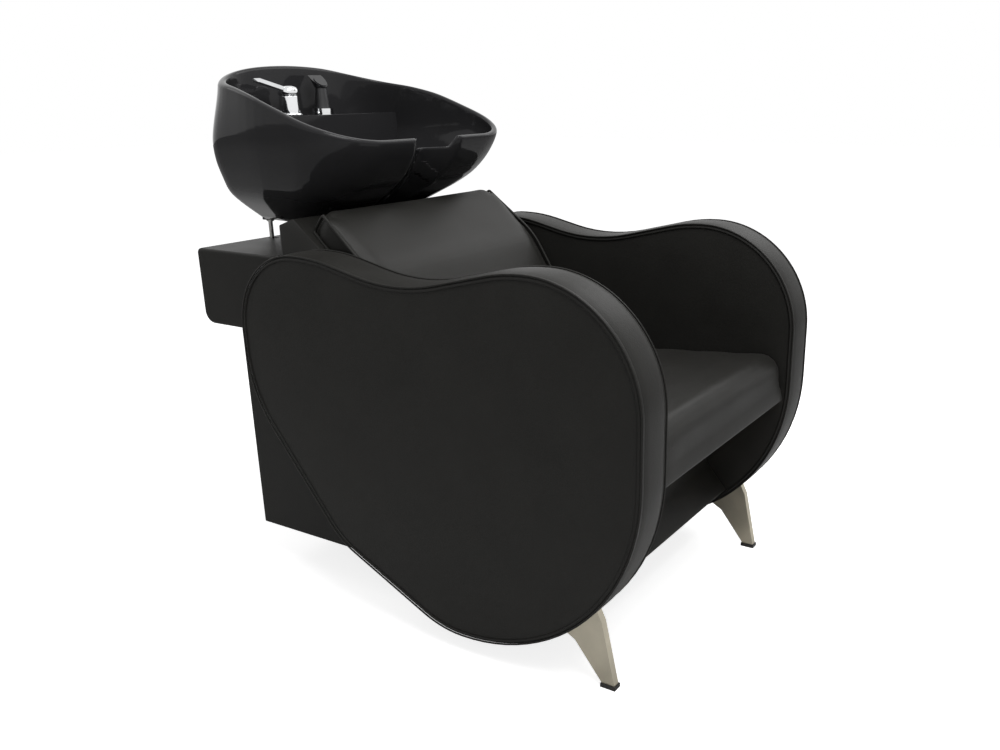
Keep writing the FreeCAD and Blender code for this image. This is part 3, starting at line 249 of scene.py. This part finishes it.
def crowned(bm, face, rise, reach, cell):
    """The face cut into a grid and raised along its normal, less towards its rim."""
    rim = [(edge.verts[0].co.copy(), edge.verts[1].co.copy()) for edge in face.edges]
    way = face.normal.copy()
    low = [min(v.co[i] for v in face.verts) for i in range(3)]
    high = [max(v.co[i] for v in face.verts) for i in range(3)]
    inside = [face]
    for i in (1, 2):
        for k in range(1, math.ceil((high[i] - low[i]) / cell)):
            here = [face.calc_center_median()[j] if j != i else low[i] + k * cell for j in range(3)]
            geom = inside + list({e for f in inside for e in f.edges})
            geom += list({v for f in inside for v in f.verts})
            cut = bmesh.ops.bisect_plane(bm, geom=geom, dist=cut_reach, plane_co=here,
                                         plane_no=[float(j == i) for j in range(3)])
            inside = [g for g in cut["geom"] if isinstance(g, bmesh.types.BMFace)]
    for vert in {v for f in inside for v in f.verts}:
        off = []
        for a, b in rim:
            share = min(max((vert.co - a).dot(b - a) / (b - a).length_squared, 0), 1)
            off.append((vert.co - a.lerp(b, share)).length)
        vert.co += way * rise * (1 - math.exp(-min(off) / reach))


arm_cover = leatherette("arm_leatherette", leather_black, arm_roughness, arm_wave_height)
for side in ("left", "right"):
    low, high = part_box(side + "_arm_band")
    middle, half = (low.x + high.x) / 2, (high.x - low.x) / 2
    bm = bmesh.new()
    drawn_out(bm, arm_outline(bm, low.x, side), (high.x - low.x, 0, 0))
    rolled(bm, end_faces(bm), band_roll, band_roll_steps)
    strips = [e for e in bm.edges if abs(e.verts[0].co.x - e.verts[1].co.x) > half]
    bmesh.ops.subdivide_edges(bm, edges=strips, cuts=band_strips - 1, use_grid_fill=True)
    bm.normal_update()
    for vert in [v for v in bm.verts if abs(v.normal.x) < facing_out]:
        vert.co += vert.normal * band_crown * (1 - ((vert.co.x - middle) / half) ** 2)
    for x in (low.x, high.x):
        face = end_faces(bm, x)
        bmesh.ops.inset_region(bm, faces=[face], thickness=band_lip, use_even_offset=True)
        inwards = math.copysign(seam_depth, middle - x)
        bmesh.ops.translate(bm, vec=(inwards, 0, 0), verts=face.verts[:])
    floors = end_faces(bm)
    rims = [edge for face in floors for edge in face.edges]
    bmesh.ops.delete(bm, geom=floors, context="FACES_ONLY")
    bmesh.ops.bridge_loops(bm, edges=rims)
    covers(finished(side + "_arm_band_cover", bm, arm_cover, "base"), "leatherette",
           side + "_arm_band", fill=0.95)

    for name, face_x in (("outer", low.x if side == "left" else high.x),
                         ("inner", high.x if side == "left" else low.x)):
        inwards = math.copysign(1, middle - face_x)
        bm = bmesh.new()
        face = arm_outline(bm, face_x + inwards * panel_sink, side, band_roll + seam_width)
        drawn_out(bm, face, (inwards * panel_depth, 0, 0))
        rolled(bm, [end_faces(bm, face_x)], panel_roll, panel_roll_steps)
        crowned(bm, end_faces(bm, face_x), panel_crown, panel_crown_reach, panel_cell)
        covers(finished(f"{side}_arm_{name}_panel_cover", bm, arm_cover, "base"), "leatherette",
               f"{side}_arm_{name}_panel", fill=0.95)

        bm = bmesh.new()
        seam = arm_outline(bm, face_x + inwards * piping_sink, side, band_roll + seam_width / 2)
        points = [vert.co.copy() for vert in seam.verts]
        bm.clear()
        piping(bm, points, piping_radius)
        covers(finished(f"{side}_arm_{name}_piping", bm, arm_cover, "base", even=False),
               "leatherette")

# Seat: a deep foam cushion in black leatherette, with a rounded nose over its front edge. The
# cover is cut a little small, pulled over the foam and stapled along its foot.
seat_front_height, seat_rear_height, seat_front_lean = 0.096, 0.062, 0.005
seat_nose_radius, seat_rear_radius, seat_side_radius, seat_side_steps = 0.034, 0.012, 0.003, 3
seat_crown, seat_draw, cloth_frames = 0.005, 0.005, 20
seat_side_gap, seat_swell, seat_voxel, foot_grip = 0.0015, 0.009, 0.0065, 0.030
seat_roughness, seat_wave_height = 0.42, 0.003


def stuffed(piece, cap, low, high, shaped=None, voxel=0.005, force=4.0, passes=12):
    """Cover filled out as cloth under pressure, held at its foot, moved no more than the cap."""
    scene = bpy.context.scene
    remesh = piece.modifiers.new("even_faces", "REMESH")
    remesh.mode, remesh.voxel_size, remesh.use_smooth_shade = "VOXEL", voxel, True
    remeshed = piece.evaluated_get(bpy.context.evaluated_depsgraph_get())
    baked = bpy.data.meshes.new_from_object(remeshed)
    piece.modifiers.clear()
    finish = piece.data.materials[0]
    piece.data = baked
    baked.materials.clear()
    baked.materials.append(finish)
    if shaped:
        for vert in baked.vertices:
            vert.co = shaped(vert.co)
    before = [vert.co.copy() for vert in baked.vertices]
    filling = piece.modifiers.new("filling", "CLOTH")
    filling.settings.use_pressure = True
    filling.settings.uniform_pressure_force = force
    filling.settings.effector_weights.gravity = 0
    for step in range(1, cloth_frames + 1):
        scene.frame_set(step)
    shape = piece.evaluated_get(bpy.context.evaluated_depsgraph_get()).data
    after = [vert.co.copy() for vert in shape.vertices]
    piece.modifiers.clear()
    scene.frame_set(1)
    moves = []
    for start, end in zip(before, after):
        move = end - start
        free = min(1, max(start.z - low.z, 0) / foot_grip)
        moves.append(move * free * min(1, cap / max(move.length, 0.000001)))
    neighbours = [[] for start in before]
    for edge in baked.edges:
        first, second = edge.vertices
        neighbours[first].append(second)
        neighbours[second].append(first)
    for turn in range(passes):
        moves = [sum((moves[j] for j in near), moves[i]) / (len(near) + 1)
                 for i, near in enumerate(neighbours)]
    for vert, start, move in zip(baked.vertices, before, moves):
        place = start + move
        vert.co = [min(max(place[i], low[i]), high[i]) for i in range(3)]
    fuller = piece.modifiers.new("fuller", "SUBSURF")
    fuller.levels = fuller.render_levels = 1


seat_cover = leatherette("seat_leatherette", leather_black, seat_roughness, seat_wave_height)
low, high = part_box("seat_cushion")
front_y, rear_y = low.y + seat_draw, high.y
front_top, rear_top = low.z + seat_front_height - seat_crown, low.z + seat_rear_height - seat_crown
half_width = high.x - seat_side_gap - seat_draw
bm = bmesh.new()
corners = ((-half_width, front_y, low.z), (-half_width, front_y + seat_front_lean, front_top),
           (-half_width, rear_y, rear_top), (-half_width, rear_y, low.z))
radii = (seat_side_radius, seat_nose_radius, seat_rear_radius, seat_side_radius)
ends = drawn_out(bm, outline(bm, corners, radii, (1, 0, 0)), (2 * half_width, 0, 0))
rolled(bm, ends, seat_side_radius, seat_side_steps)
seat = finished("seat_cover", bm, seat_cover, "base", even=False)
stuffed(seat, seat_swell, low, high, voxel=seat_voxel)
covers(seat, "leatherette", "seat_cushion", fill=0.85)

# Back: a thick foam pad that runs up from the seat in a gentle bow to under the bowl. Its
# leatherette cover is piped round both sides, and its two top corners are round.
back_line = ((-0.0405, 0.414), (0.010, 0.536), (0.072, 0.637), (0.194, 0.735))
back_pad_thickness, back_bend_radius, back_edge_radius = 0.042, 0.160, 0.009
back_side_radius, back_side_steps = 0.0045, 3
back_draw, back_swell, back_corner_radius = 0.004, 0.007, 0.042
welt_radius, welt_proud, welt_inset = 0.0028, -0.0010, 0.0050


def beside(line, depth):
    """Line at a depth behind another one in the (y, z) plane, corner for corner."""
    moved = []
    for i in range(len(line)):
        here = Vector(line[i])
        runs = [Vector(line[j + 1]) - Vector(line[j])
                for j in (i - 1, i) if 0 <= j < len(line) - 1]
        sides = [Vector((run.y, -run.x)).normalized() for run in runs]
        middle = (sides[0] + sides[-1]).normalized()
        moved.append(here + middle * depth / middle.dot(sides[0]))
    return [tuple(point) for point in moved]


def corner_rounded(place):
    """Place in the pad moved in where its two top corners are cut round."""
    up = back_corner_radius + (Vector((place.y, place.z)) - top_end).dot(top_run)
    across = abs(place.x) - half_width + back_corner_radius
    if across <= 0 or up <= 0:
        return place.copy()
    share = max(across, up) / math.hypot(across, up)
    move = up * (share - 1)
    x = half_width - back_corner_radius + across * share
    return Vector((math.copysign(x, place.x), place.y + top_run.x * move,
                   place.z + top_run.y * move))


low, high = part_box("back_cushion")
rear = beside(back_line, back_pad_thickness)
rear[0] = (rear[0][0], back_line[0][1])
half_width = high.x - back_draw
top_end = Vector(back_line[-1])
top_run = (top_end - Vector(back_line[-2])).normalized()
corners = [(-half_width, y, z) for y, z in list(back_line) + rear[::-1]]
inner_bend = back_bend_radius - back_pad_thickness
radii = (back_edge_radius, back_bend_radius, back_bend_radius, back_edge_radius,
         back_edge_radius, inner_bend, inner_bend, back_edge_radius)
bm = bmesh.new()
ends = drawn_out(bm, outline(bm, corners, radii, (1, 0, 0)), (2 * half_width, 0, 0))
rolled(bm, ends, back_side_radius, back_side_steps)
back = finished("back_cover", bm, seat_cover, "base", even=False)
stuffed(back, back_swell, low, high, corner_rounded)
covers(back, "leatherette", "back_cushion", fill=0.9)
for side, sign in (("left", -1), ("right", 1)):
    bm = bmesh.new()
    face = outline(bm, corners, radii, (1, 0, 0), arc_step_deg)
    if face.normal.x < 0:
        face.normal_flip()
    welt_x = sign * (high.x - welt_inset)
    points = [corner_rounded(Vector((welt_x, vert.co.y, vert.co.z))) for vert in face.verts]
    bm.clear()
    piping(bm, points, welt_radius, welt_proud)
    covers(finished(side + "_back_welt", bm, seat_cover, "base", even=False), "leatherette")

# Back block and rear: plywood boxes with thin foam under the same leatherette, which is turned
# round their edges and stapled out of sight: the block behind the pad, the deep shelf under the
# bowl, the cover over the plumbing with its door, and the kick panel under the seat.
block_turn, shelf_turn, cover_turn, door_turn, kick_turn = 0.0070, 0.0050, 0.0035, 0.0020, 0.0045
long_edge, sharp_turn_deg, turn_steps = 0.060, 40, 4
flat_turn_deg, same_place = 1, 0.0001


def wrapped(node, name, turn, finish, body="base"):
    """Cover stretched over a node: a merged copy of it with its long edges turned round."""
    low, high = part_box(node)
    bm = bmesh.new()
    bm.from_mesh(nodes[node].data)
    bmesh.ops.remove_doubles(bm, verts=bm.verts, dist=cut_reach)
    bmesh.ops.dissolve_limit(bm, angle_limit=math.radians(flat_turn_deg), verts=bm.verts,
                             edges=bm.edges)
    outer = []
    for edge in bm.edges:
        on_side = any(all(abs(vert.co.x - x) < same_place for vert in edge.verts)
                      for x in (low.x, high.x))
        if (edge.is_manifold and edge.calc_face_angle_signed(0) > math.radians(sharp_turn_deg)
                and (edge.calc_length() > long_edge or on_side)):
            outer.append(edge)
    bmesh.ops.bevel(bm, geom=outer, offset=turn, segments=turn_steps, profile=0.5, affect="EDGES",
                    material=-1, clamp_overlap=False)
    covers(finished(name, bm, finish, body), "leatherette", node)


wrapped("back_block", "back_block_cover", block_turn, seat_cover)
wrapped("rear_shelf", "rear_shelf_cover", shelf_turn, seat_cover)
wrapped("plumbing_cover", "plumbing_cover_cover", cover_turn, seat_cover)
wrapped("access_door", "access_door_cover", door_turn, seat_cover, "door")
wrapped("kick_panel", "kick_panel_cover", kick_turn, seat_cover)

# Bowl: one piece of black glazed fireclay, cast hollow with a thick rounded rim that climbs from
# the neck rest and arches over at the rear, a raised deck for the fittings and a sunk outlet.
bowl_plan_shares = ((0.000, 0.120, 0.170), (0.253, 0.000, 0.060), (1.000, 0.005, 0.447),
                    (1.000, 0.523, 1.200), (0.915, 0.985, 0.270), (0.000, 1.000, 1.600))
rim_corner_shares = (0.840, 0.982, 0.525)
bowl_level_shares = (
    (0.000, 0.500, 0.507, 0.016, 0.000), (0.125, 0.725, 0.669, 0.010, 0.000),
    (0.202, 0.830, 0.780, 0.000, 0.000), (0.293, 0.895, 0.880, 0.000, 0.000),
    (0.420, 0.955, 0.960, 0.000, 0.000), (0.560, 1.000, 1.000, 0.000, 0.250),
    (0.880, 1.000, 1.000, 0.000, 1.000), (1.080, 1.000, 1.000, 0.000, 1.000))
rim_shares = ((-0.100, 0.488), (0.000, 0.537), (0.240, 0.662), (0.500, 0.790), (0.662, 0.860),
              (1.100, 1.070))
rim_arch_radius, rim_arch_top, rim_blend = 0.727, 0.986, 0.012
bowl_half_width, bowl_front, bowl_length = 0.265, 0.110, 0.402
bowl_base, bowl_height, bowl_wall, bowl_floor = 0.688, 0.297, 0.014, 0.016
neck_flat, neck_ramp, neck_bottom = 0.050, 0.017, 0.829
neck_depth, neck_reach, neck_blend = 0.027, 0.080, 0.003
rim_roll, drain_y, drain_radius = 0.0055, 0.368, 0.026
plan_points, plan_step_deg, wall_rings, rim_rings, settling_turns = 380, 6.0, 34, 4, 10
glaze_black, glaze_roughness, glaze_shine = (0.0240, 0.0238, 0.0250), 0.05, 0.12
glaze_flow_scale, glaze_flow_height = 9.0, 0.002


def along(rows, at, column=1):
    """Value at a place on the smooth curve through rows that start with their place."""
    at = min(max(at, rows[0][0]), rows[-1][0])
    i = max(k for k in range(len(rows) - 1) if rows[k][0] <= at)
    slopes = []
    for k in (i, i + 1):
        before, after = rows[max(k - 1, 0)], rows[min(k + 1, len(rows) - 1)]
        slopes.append((after[column] - before[column]) / (after[0] - before[0]))
    span = rows[i + 1][0] - rows[i][0]
    t = (at - rows[i][0]) / span
    return ((1 + 2 * t) * (1 - t) ** 2 * rows[i][column] + t * (1 - t) ** 2 * span * slopes[0]
            + t * t * (3 - 2 * t) * rows[i + 1][column] + t * t * (t - 1) * span * slopes[1])


def lower_of(first, second, blend):
    """The lower of two heights, eased where they cross."""
    near = max(blend - abs(first - second), 0) / blend
    return min(first, second) - near ** 2 * blend / 4


def rim_height(x, y):
    """Height of the rim over a point of the plan, with the neck rest let into its front."""
    line = bowl_base + bowl_height * along(rim_shares, (y - bowl_front) / bowl_length)
    arch = rim_arch_top - rim_arch_radius + math.sqrt(rim_arch_radius ** 2 - x ** 2)
    height = lower_of(line, arch, rim_blend)
    if y < bowl_front + neck_reach and abs(x) < neck_flat + neck_ramp:
        climb = min(max((abs(x) - neck_flat) / neck_ramp, 0), 1)
        dent = neck_bottom + neck_depth * climb ** 2 * (3 - 2 * climb)
        height = lower_of(height, dent, neck_blend)
    return height


def wall_point(point, z, inset):
    """Point of the plan moved to the wall at a height, on its outside or inset to its inside."""
    sunk = bowl_floor if inset > bowl_wall / 2 else 0
    share = (z - bowl_base - sunk) / (bowl_height - sunk)
    width, length, rear, roundness = (along(bowl_level_shares, share, k) for k in (1, 2, 3, 4))
    x, y = point[0].lerp(point[1], roundness)
    half = bowl_half_width * width - inset
    depth = bowl_length * length * half / (half + inset)
    return Vector((x * half, bowl_front + bowl_length * (1 - rear) - inset - (1 - y) * depth, z))


def below_rim(point, inset, drop=0.0, share=1.0, foot=0.0):
    """Point of the wall a drop below the rim, or at a share of the height from a foot to there."""
    z = bowl_base + bowl_height
    for turn in range(settling_turns):
        place = wall_point(point, z, inset)
        z = foot + (rim_height(place.x, place.y) - drop - foot) * share
    return wall_point(point, z, inset)


def even_points(shares):
    """Shares of points at even steps round the plan, from the middle of its front."""
    rows = list(shares) + [(-x, y, r) for x, y, r in reversed(shares[1:-1])]
    bm = bmesh.new()
    face = outline(bm, [(x * bowl_half_width, y * bowl_length, 0) for x, y, r in rows],
                   [r * bowl_half_width for x, y, r in rows], (0, 0, 1), plan_step_deg)
    if face.normal.z < 0:
        face.normal_flip()
    ring = [vert.co.copy() for vert in face.verts]
    bm.free()
    first = min(range(len(ring)), key=lambda i: abs(ring[i].x) + (ring[i].y > bowl_length / 2))
    ring = ring[first:] + ring[:first + 1]
    whole = sum((b - a).length for a, b in zip(ring, ring[1:]))
    points, run, i = [], 0.0, 0
    for k in range(plan_points):
        target = whole * k / plan_points
        while run + (ring[i + 1] - ring[i]).length < target:
            run += (ring[i + 1] - ring[i]).length
            i += 1
        place = ring[i].lerp(ring[i + 1], (target - run) / (ring[i + 1] - ring[i]).length)
        points.append(Vector((place.x / bowl_half_width, place.y / bowl_length)))
    return points


def drain_ring(points, z):
    """Round hole of the outlet at a height, with one point towards each of the points."""
    middle = Vector((0, drain_y, z))
    return [middle + (p - middle).to_2d().to_3d().normalized() * drain_radius for p in points]


rim_plan_shares = bowl_plan_shares[:4] + (rim_corner_shares,) + bowl_plan_shares[5:]
plan = list(zip(even_points(bowl_plan_shares), even_points(rim_plan_shares)))
floor_z = bowl_base + bowl_floor
climb = [k / wall_rings for k in range(wall_rings)]
roll = [(rim_roll * (1 - math.cos(math.pi / 2 * k / rim_rings)),
         rim_roll * (1 - math.sin(math.pi / 2 * k / rim_rings))) for k in range(rim_rings + 1)]
rings = [drain_ring([wall_point(p, bowl_base, 0) for p in plan], bowl_base)]
rings += [[below_rim(p, 0, rim_roll, share, bowl_base) for p in plan] for share in climb]
rings += [[below_rim(p, inset, drop) for p in plan] for inset, drop in roll]
rings += [[below_rim(p, bowl_wall - inset, drop) for p in plan] for inset, drop in roll[::-1]]
rings += [[below_rim(p, bowl_wall, rim_roll, share, floor_z) for p in plan]
          for share in climb[::-1]]
rings.append(drain_ring([wall_point(p, floor_z, bowl_wall) for p in plan], floor_z))
bm = bmesh.new()
ringed(bm, rings, closed=True)

glaze, tree, shader = new_finish("black_glaze", glaze_black, glaze_roughness)
shader.inputs["Specular IOR Level"].default_value = glaze_shine
place = tree.nodes.new("ShaderNodeTexCoord").outputs["Object"]
uneven(tree, shader, place, 30.0, glaze_roughness, glaze_roughness + 0.04)
flow = add_node(tree, "TexNoise", [("Vector", place)], Scale=glaze_flow_scale, Detail=1.0)
bump = add_node(tree, "Bump", [("Height", flow.outputs["Fac"])], Strength=0.25,
                Distance=glaze_flow_height)
tree.links.new(bump.outputs["Normal"], shader.inputs["Normal"])
covers(finished("bowl_shell", bm, glaze, "bowl_unit", even=False), "ceramic", "bowl")

# Deck: the raised rear of the same casting, glazed with it. The mixer and the shower stand on its
# flat top, and its front edge is rounded down into the bowl.
deck_front, deck_top, deck_roll, deck_inset = 0.426, 0.888, 0.008, 0.0084
deck_rings, deck_roll_steps = 12, 4

bm = bmesh.new()
rise = deck_top - deck_roll - floor_z
levels = [floor_z + rise * k / deck_rings for k in range(deck_rings + 1)]
levels += [deck_top - deck_roll * (1 - math.sin(math.pi / 2 * k / deck_roll_steps))
           for k in range(1, deck_roll_steps + 1)]
rows = ringed(bm, [[wall_point(p, z, deck_inset) for p in plan] for z in levels])
bm.faces.new(rows[0])
bm.faces.new(rows[-1])
bmesh.ops.recalc_face_normals(bm, faces=bm.faces)
bmesh.ops.bisect_plane(bm, geom=bm.verts[:] + bm.edges[:] + bm.faces[:], dist=cut_reach,
                       plane_co=(0, deck_front, 0), plane_no=(0, -1, 0), clear_outer=True)
bmesh.ops.holes_fill(bm, edges=[e for e in bm.edges if e.is_boundary])
lip = [e for e in bm.edges if all(abs(v.co.y - deck_front) < same_place
                                  and v.co.z > deck_top - same_place for v in e.verts)]
bmesh.ops.bevel(bm, geom=lip, offset=deck_roll, segments=deck_roll_steps, profile=0.5,
                affect="EDGES", material=-1)
covers(finished("bowl_deck", bm, glaze, "bowl_unit"), "ceramic")

# Metal: flat champagne-coated steel legs, black powder-coated frame and bowl carrier, zinc-plated
# screws, rods and hinges, bronze bushes, and chrome on the fittings and round the outlet.
champagne, powder_black, zinc = (0.50, 0.46, 0.37), (0.012, 0.012, 0.013), (0.50, 0.50, 0.48)
chrome_grey, bronze_brown = (0.78, 0.79, 0.80), (0.46, 0.29, 0.13)
drift_scale, leg_brushing = 18.0, (1, 1, 0.08)


def metal(name, colour, roughness, scale, bump_height, metallic=1.0, stretch=(1, 1, 1)):
    """Metal or its coat: roughness that drifts between two values over a fine texture."""
    low, high = roughness
    finish, tree, shader = new_finish(name, colour, low, metallic)
    place = tree.nodes.new("ShaderNodeTexCoord").outputs["Object"]
    drift = uneven(tree, shader, place, drift_scale, low, high)
    tinted(tree, shader, drift, [c * 0.90 for c in colour], [min(c * 1.08, 1) for c in colour])
    turned = add_node(tree, "Mapping", [("Vector", place)], Scale=stretch)
    fine = add_node(tree, "TexNoise", [("Vector", turned.outputs["Vector"])], Scale=scale,
                    Detail=4.0)
    bump = add_node(tree, "Bump", [("Height", fine.outputs["Fac"])], Strength=0.3,
                    Distance=bump_height)
    tree.links.new(bump.outputs["Normal"], shader.inputs["Normal"])
    return finish


def given(finish, *names):
    """The finish put on CAD nodes whose shape is right."""
    for name in names:
        for place in nodes[name].material_slots:
            place.material = finish


given(metal("champagne_coat", champagne, (0.30, 0.42), scale=900.0, bump_height=0.00015,
            stretch=leg_brushing), "left_front_leg", "right_front_leg")
given(metal("powder_coat", powder_black, (0.45, 0.58), scale=1400.0, bump_height=0.0002,
            metallic=0.0),
      "front_cross_tube", "rear_cross_tube", "rear_rail", "rear_feet", "bowl_carrier", "pivot_ears")
given(metal("zinc_plate", zinc, (0.28, 0.46), scale=700.0, bump_height=0.0001),
      "leg_bolts", "frame_screws", "ear_screws", "carrier_bolts", "pivot_shaft", "stay_rods",
      "rod_nuts", "hinge_frame_leaves", "hinge_door_leaves", "hinge_pins", "catch_striker",
      "mixer_nut", "collar_nut", "lever_pin")
chrome = metal("chrome_plate", chrome_grey, (0.05, 0.11), scale=120.0, bump_height=0.00003)
given(chrome, "strainer", "waste_flange")
given(metal("bronze", bronze_brown, (0.35, 0.5), scale=600.0, bump_height=0.0001), "pivot_bushes")

# Plastic and rubber: moulded black hand shower, knob, pull and catch, white waste parts, and
# rubber pads under the legs and feet, all with a fine moulded texture.
plastic_black, plastic_white = (0.014, 0.014, 0.015), (0.70, 0.70, 0.67)
rubber_black = (0.020, 0.019, 0.018)
black_plastic = metal("black_plastic", plastic_black, (0.32, 0.44), scale=1100.0,
                      bump_height=0.0002, metallic=0.0)
given(black_plastic, "magnet_catch")
given(metal("pad_rubber", rubber_black, (0.70, 0.85), scale=500.0, bump_height=0.0004,
            metallic=0.0), "front_leg_pads", "rear_foot_pads")
given(metal("white_plastic", plastic_white, (0.30, 0.40), scale=900.0, bump_height=0.0001,
            metallic=0.0), "waste_pipe", "waste_slip_nut", "waste_backnut")

# Wood: birch plywood cores of the arms and seat board, with its plies showing on the edges, and a
# thin black-faced board that closes the underside.
birch_light, birch_dark, birch_roughness = (0.52, 0.36, 0.20), (0.34, 0.21, 0.10), 0.55
ply_scale, ply_stretch, pore_depth = 105.0, (1.0, 0.12, 1.0), 0.0003
board_black = (0.020, 0.019, 0.018)
plywood, tree, shader = new_finish("birch_plywood", birch_light, birch_roughness)
place = tree.nodes.new("ShaderNodeTexCoord").outputs["Object"]
grain = add_node(tree, "Mapping", [("Vector", place)], Scale=ply_stretch)
streaks = add_node(tree, "TexNoise", [("Vector", grain.outputs["Vector"])], Scale=ply_scale,
                   Detail=6.0, Distortion=0.6)
tinted(tree, shader, streaks, birch_dark, birch_light)
pores = add_node(tree, "Bump", [("Height", streaks.outputs["Fac"])], Strength=0.4,
                 Distance=pore_depth)
tree.links.new(pores.outputs["Normal"], shader.inputs["Normal"])
given(plywood, "left_arm_core", "right_arm_core", "seat_board")
given(metal("black_board", board_black, (0.60, 0.75), scale=300.0, bump_height=0.0004,
            metallic=0.0), "underside_board")

# Mixer: a turned brass body and its domed cap on a thin flange, all chrome plated. The lever, the
# shower's collar and the hand shower keep the shapes of their nodes.
turned_steps = 56
flange_shares = ((0.0, 0.0), (1.0, 0.0), (1.0, 0.45), (0.96, 0.80), (0.90, 1.0), (0.0, 1.0))
body_shares = ((0.0, 0.0), (0.45, 0.0), (0.45, 0.50), (0.96, 0.50), (1.0, 0.53), (0.97, 0.65),
               (0.90, 0.85), (0.87, 0.97), (0.84, 1.0), (0.0, 1.0))
dome_shares = ((0.0, 0.0), (0.94, 0.0), (1.0, 0.08), (1.0, 0.42), (0.95, 0.62), (0.82, 0.82),
               (0.58, 0.95), (0.25, 1.0), (0.0, 1.0))
for node, shares, body in (("mixer_base", flange_shares, "bowl_unit"),
                           ("mixer_body", body_shares, "bowl_unit"),
                           ("mixer_cap", dome_shares, "mixer_head")):
    low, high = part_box(node)
    centre = Vector(((low.x + high.x) / 2, (low.y + high.y) / 2, low.z))
    radius, height = (high.x - low.x) / 2, high.z - low.z
    bm = bmesh.new()
    line = [bm.verts.new(centre + Vector((a * radius, 0, b * height))) for a, b in shares]
    edges = [bm.edges.new(pair) for pair in zip(line, line[1:])]
    bmesh.ops.spin(bm, geom=line + edges, cent=centre, axis=(0, 0, 1), angle=2 * math.pi,
                   steps=turned_steps, use_merge=True, use_duplicate=False)
    bmesh.ops.remove_doubles(bm, verts=bm.verts, dist=cut_reach)
    covers(finished(node + "_turned", bm, chrome, body), "chrome", node)
given(chrome, "mixer_lever", "shower_collar")
given(black_plastic, "hand_shower", "spray_face", "clamp_knob", "door_pull")

# Studio: a plain pale floor, a large soft lamp over the front left and one overhead, weaker ones
# from the right and the rear, and two small lamps in front whose glints show on the glaze.
floor_size, floor_paper, floor_roughness, floor_glow = 30.0, (0.86, 0.86, 0.86), 0.9, 0.80
room_light, backdrop_white, lamp_target = 0.30, 1.0, (0, 0, 0.5)
lamps = (("key_lamp", (-1.0, -1.4, 2.9), 1.4, 40.0), ("fill_lamp", (1.8, -0.6, 2.2), 1.6, 14.0),
         ("top_lamp", (0.1, -0.7, 3.0), 1.2, 30.0), ("rear_lamp", (-0.6, 2.0, 2.4), 1.2, 4.0),
         ("glint_lamp_1", (-1.45, -1.78, 2.2), 0.05, 0.8),
         ("glint_lamp_3", (-0.55, -1.54, 2.2), 0.05, 0.8))
bm = bmesh.new()
bmesh.ops.create_grid(bm, x_segments=1, y_segments=1, size=floor_size / 2)
mesh = bpy.data.meshes.new("floor")
bm.to_mesh(mesh)
bm.free()
floor = bpy.data.objects.new("floor", mesh)
bpy.context.scene.collection.objects.link(floor)
paper, tree, shader = new_finish("floor_paper", floor_paper, floor_roughness)
shader.inputs["Specular IOR Level"].default_value = 0.0
path = tree.nodes.new("ShaderNodeLightPath")
glow = add_node(tree, "Math", [(0, path.outputs["Is Camera Ray"])])
glow.operation = "MULTIPLY"
glow.inputs[1].default_value = floor_glow
shader.inputs["Emission Color"].default_value = (1, 1, 1, 1)
tree.links.new(glow.outputs["Value"], shader.inputs["Emission Strength"])
mesh.materials.append(paper)

world = bpy.data.worlds.new("studio")
bpy.context.scene.world = world
world.use_nodes = True
tree = world.node_tree
path = tree.nodes.new("ShaderNodeLightPath")
seen = path.outputs["Is Camera Ray"]
for ray in ("Is Transmission Ray", "Is Glossy Ray"):
    either = add_node(tree, "Math", [(0, seen), (1, path.outputs[ray])])
    either.operation = "MAXIMUM"
    seen = either.outputs["Value"]
level = add_node(tree, "MapRange", [("Value", seen)], To_Min=room_light, To_Max=backdrop_white)
background = tree.nodes["Background"]
background.inputs["Color"].default_value = (1, 1, 1, 1)
tree.links.new(level.outputs["Result"], background.inputs["Strength"])

for name, place, size, power in lamps:
    lamp = bpy.data.lights.new(name, "AREA")
    lamp.shape, lamp.size, lamp.energy = "DISK", size, power
    holder = bpy.data.objects.new(name, lamp)
    bpy.context.scene.collection.objects.link(holder)
    aim = (Vector(place) - Vector(lamp_target)).to_track_quat("Z", "Y").to_matrix().to_4x4()
    holder.matrix_world = Matrix.Translation(place) @ aim

bpy.context.scene.view_settings.view_transform = "Standard"
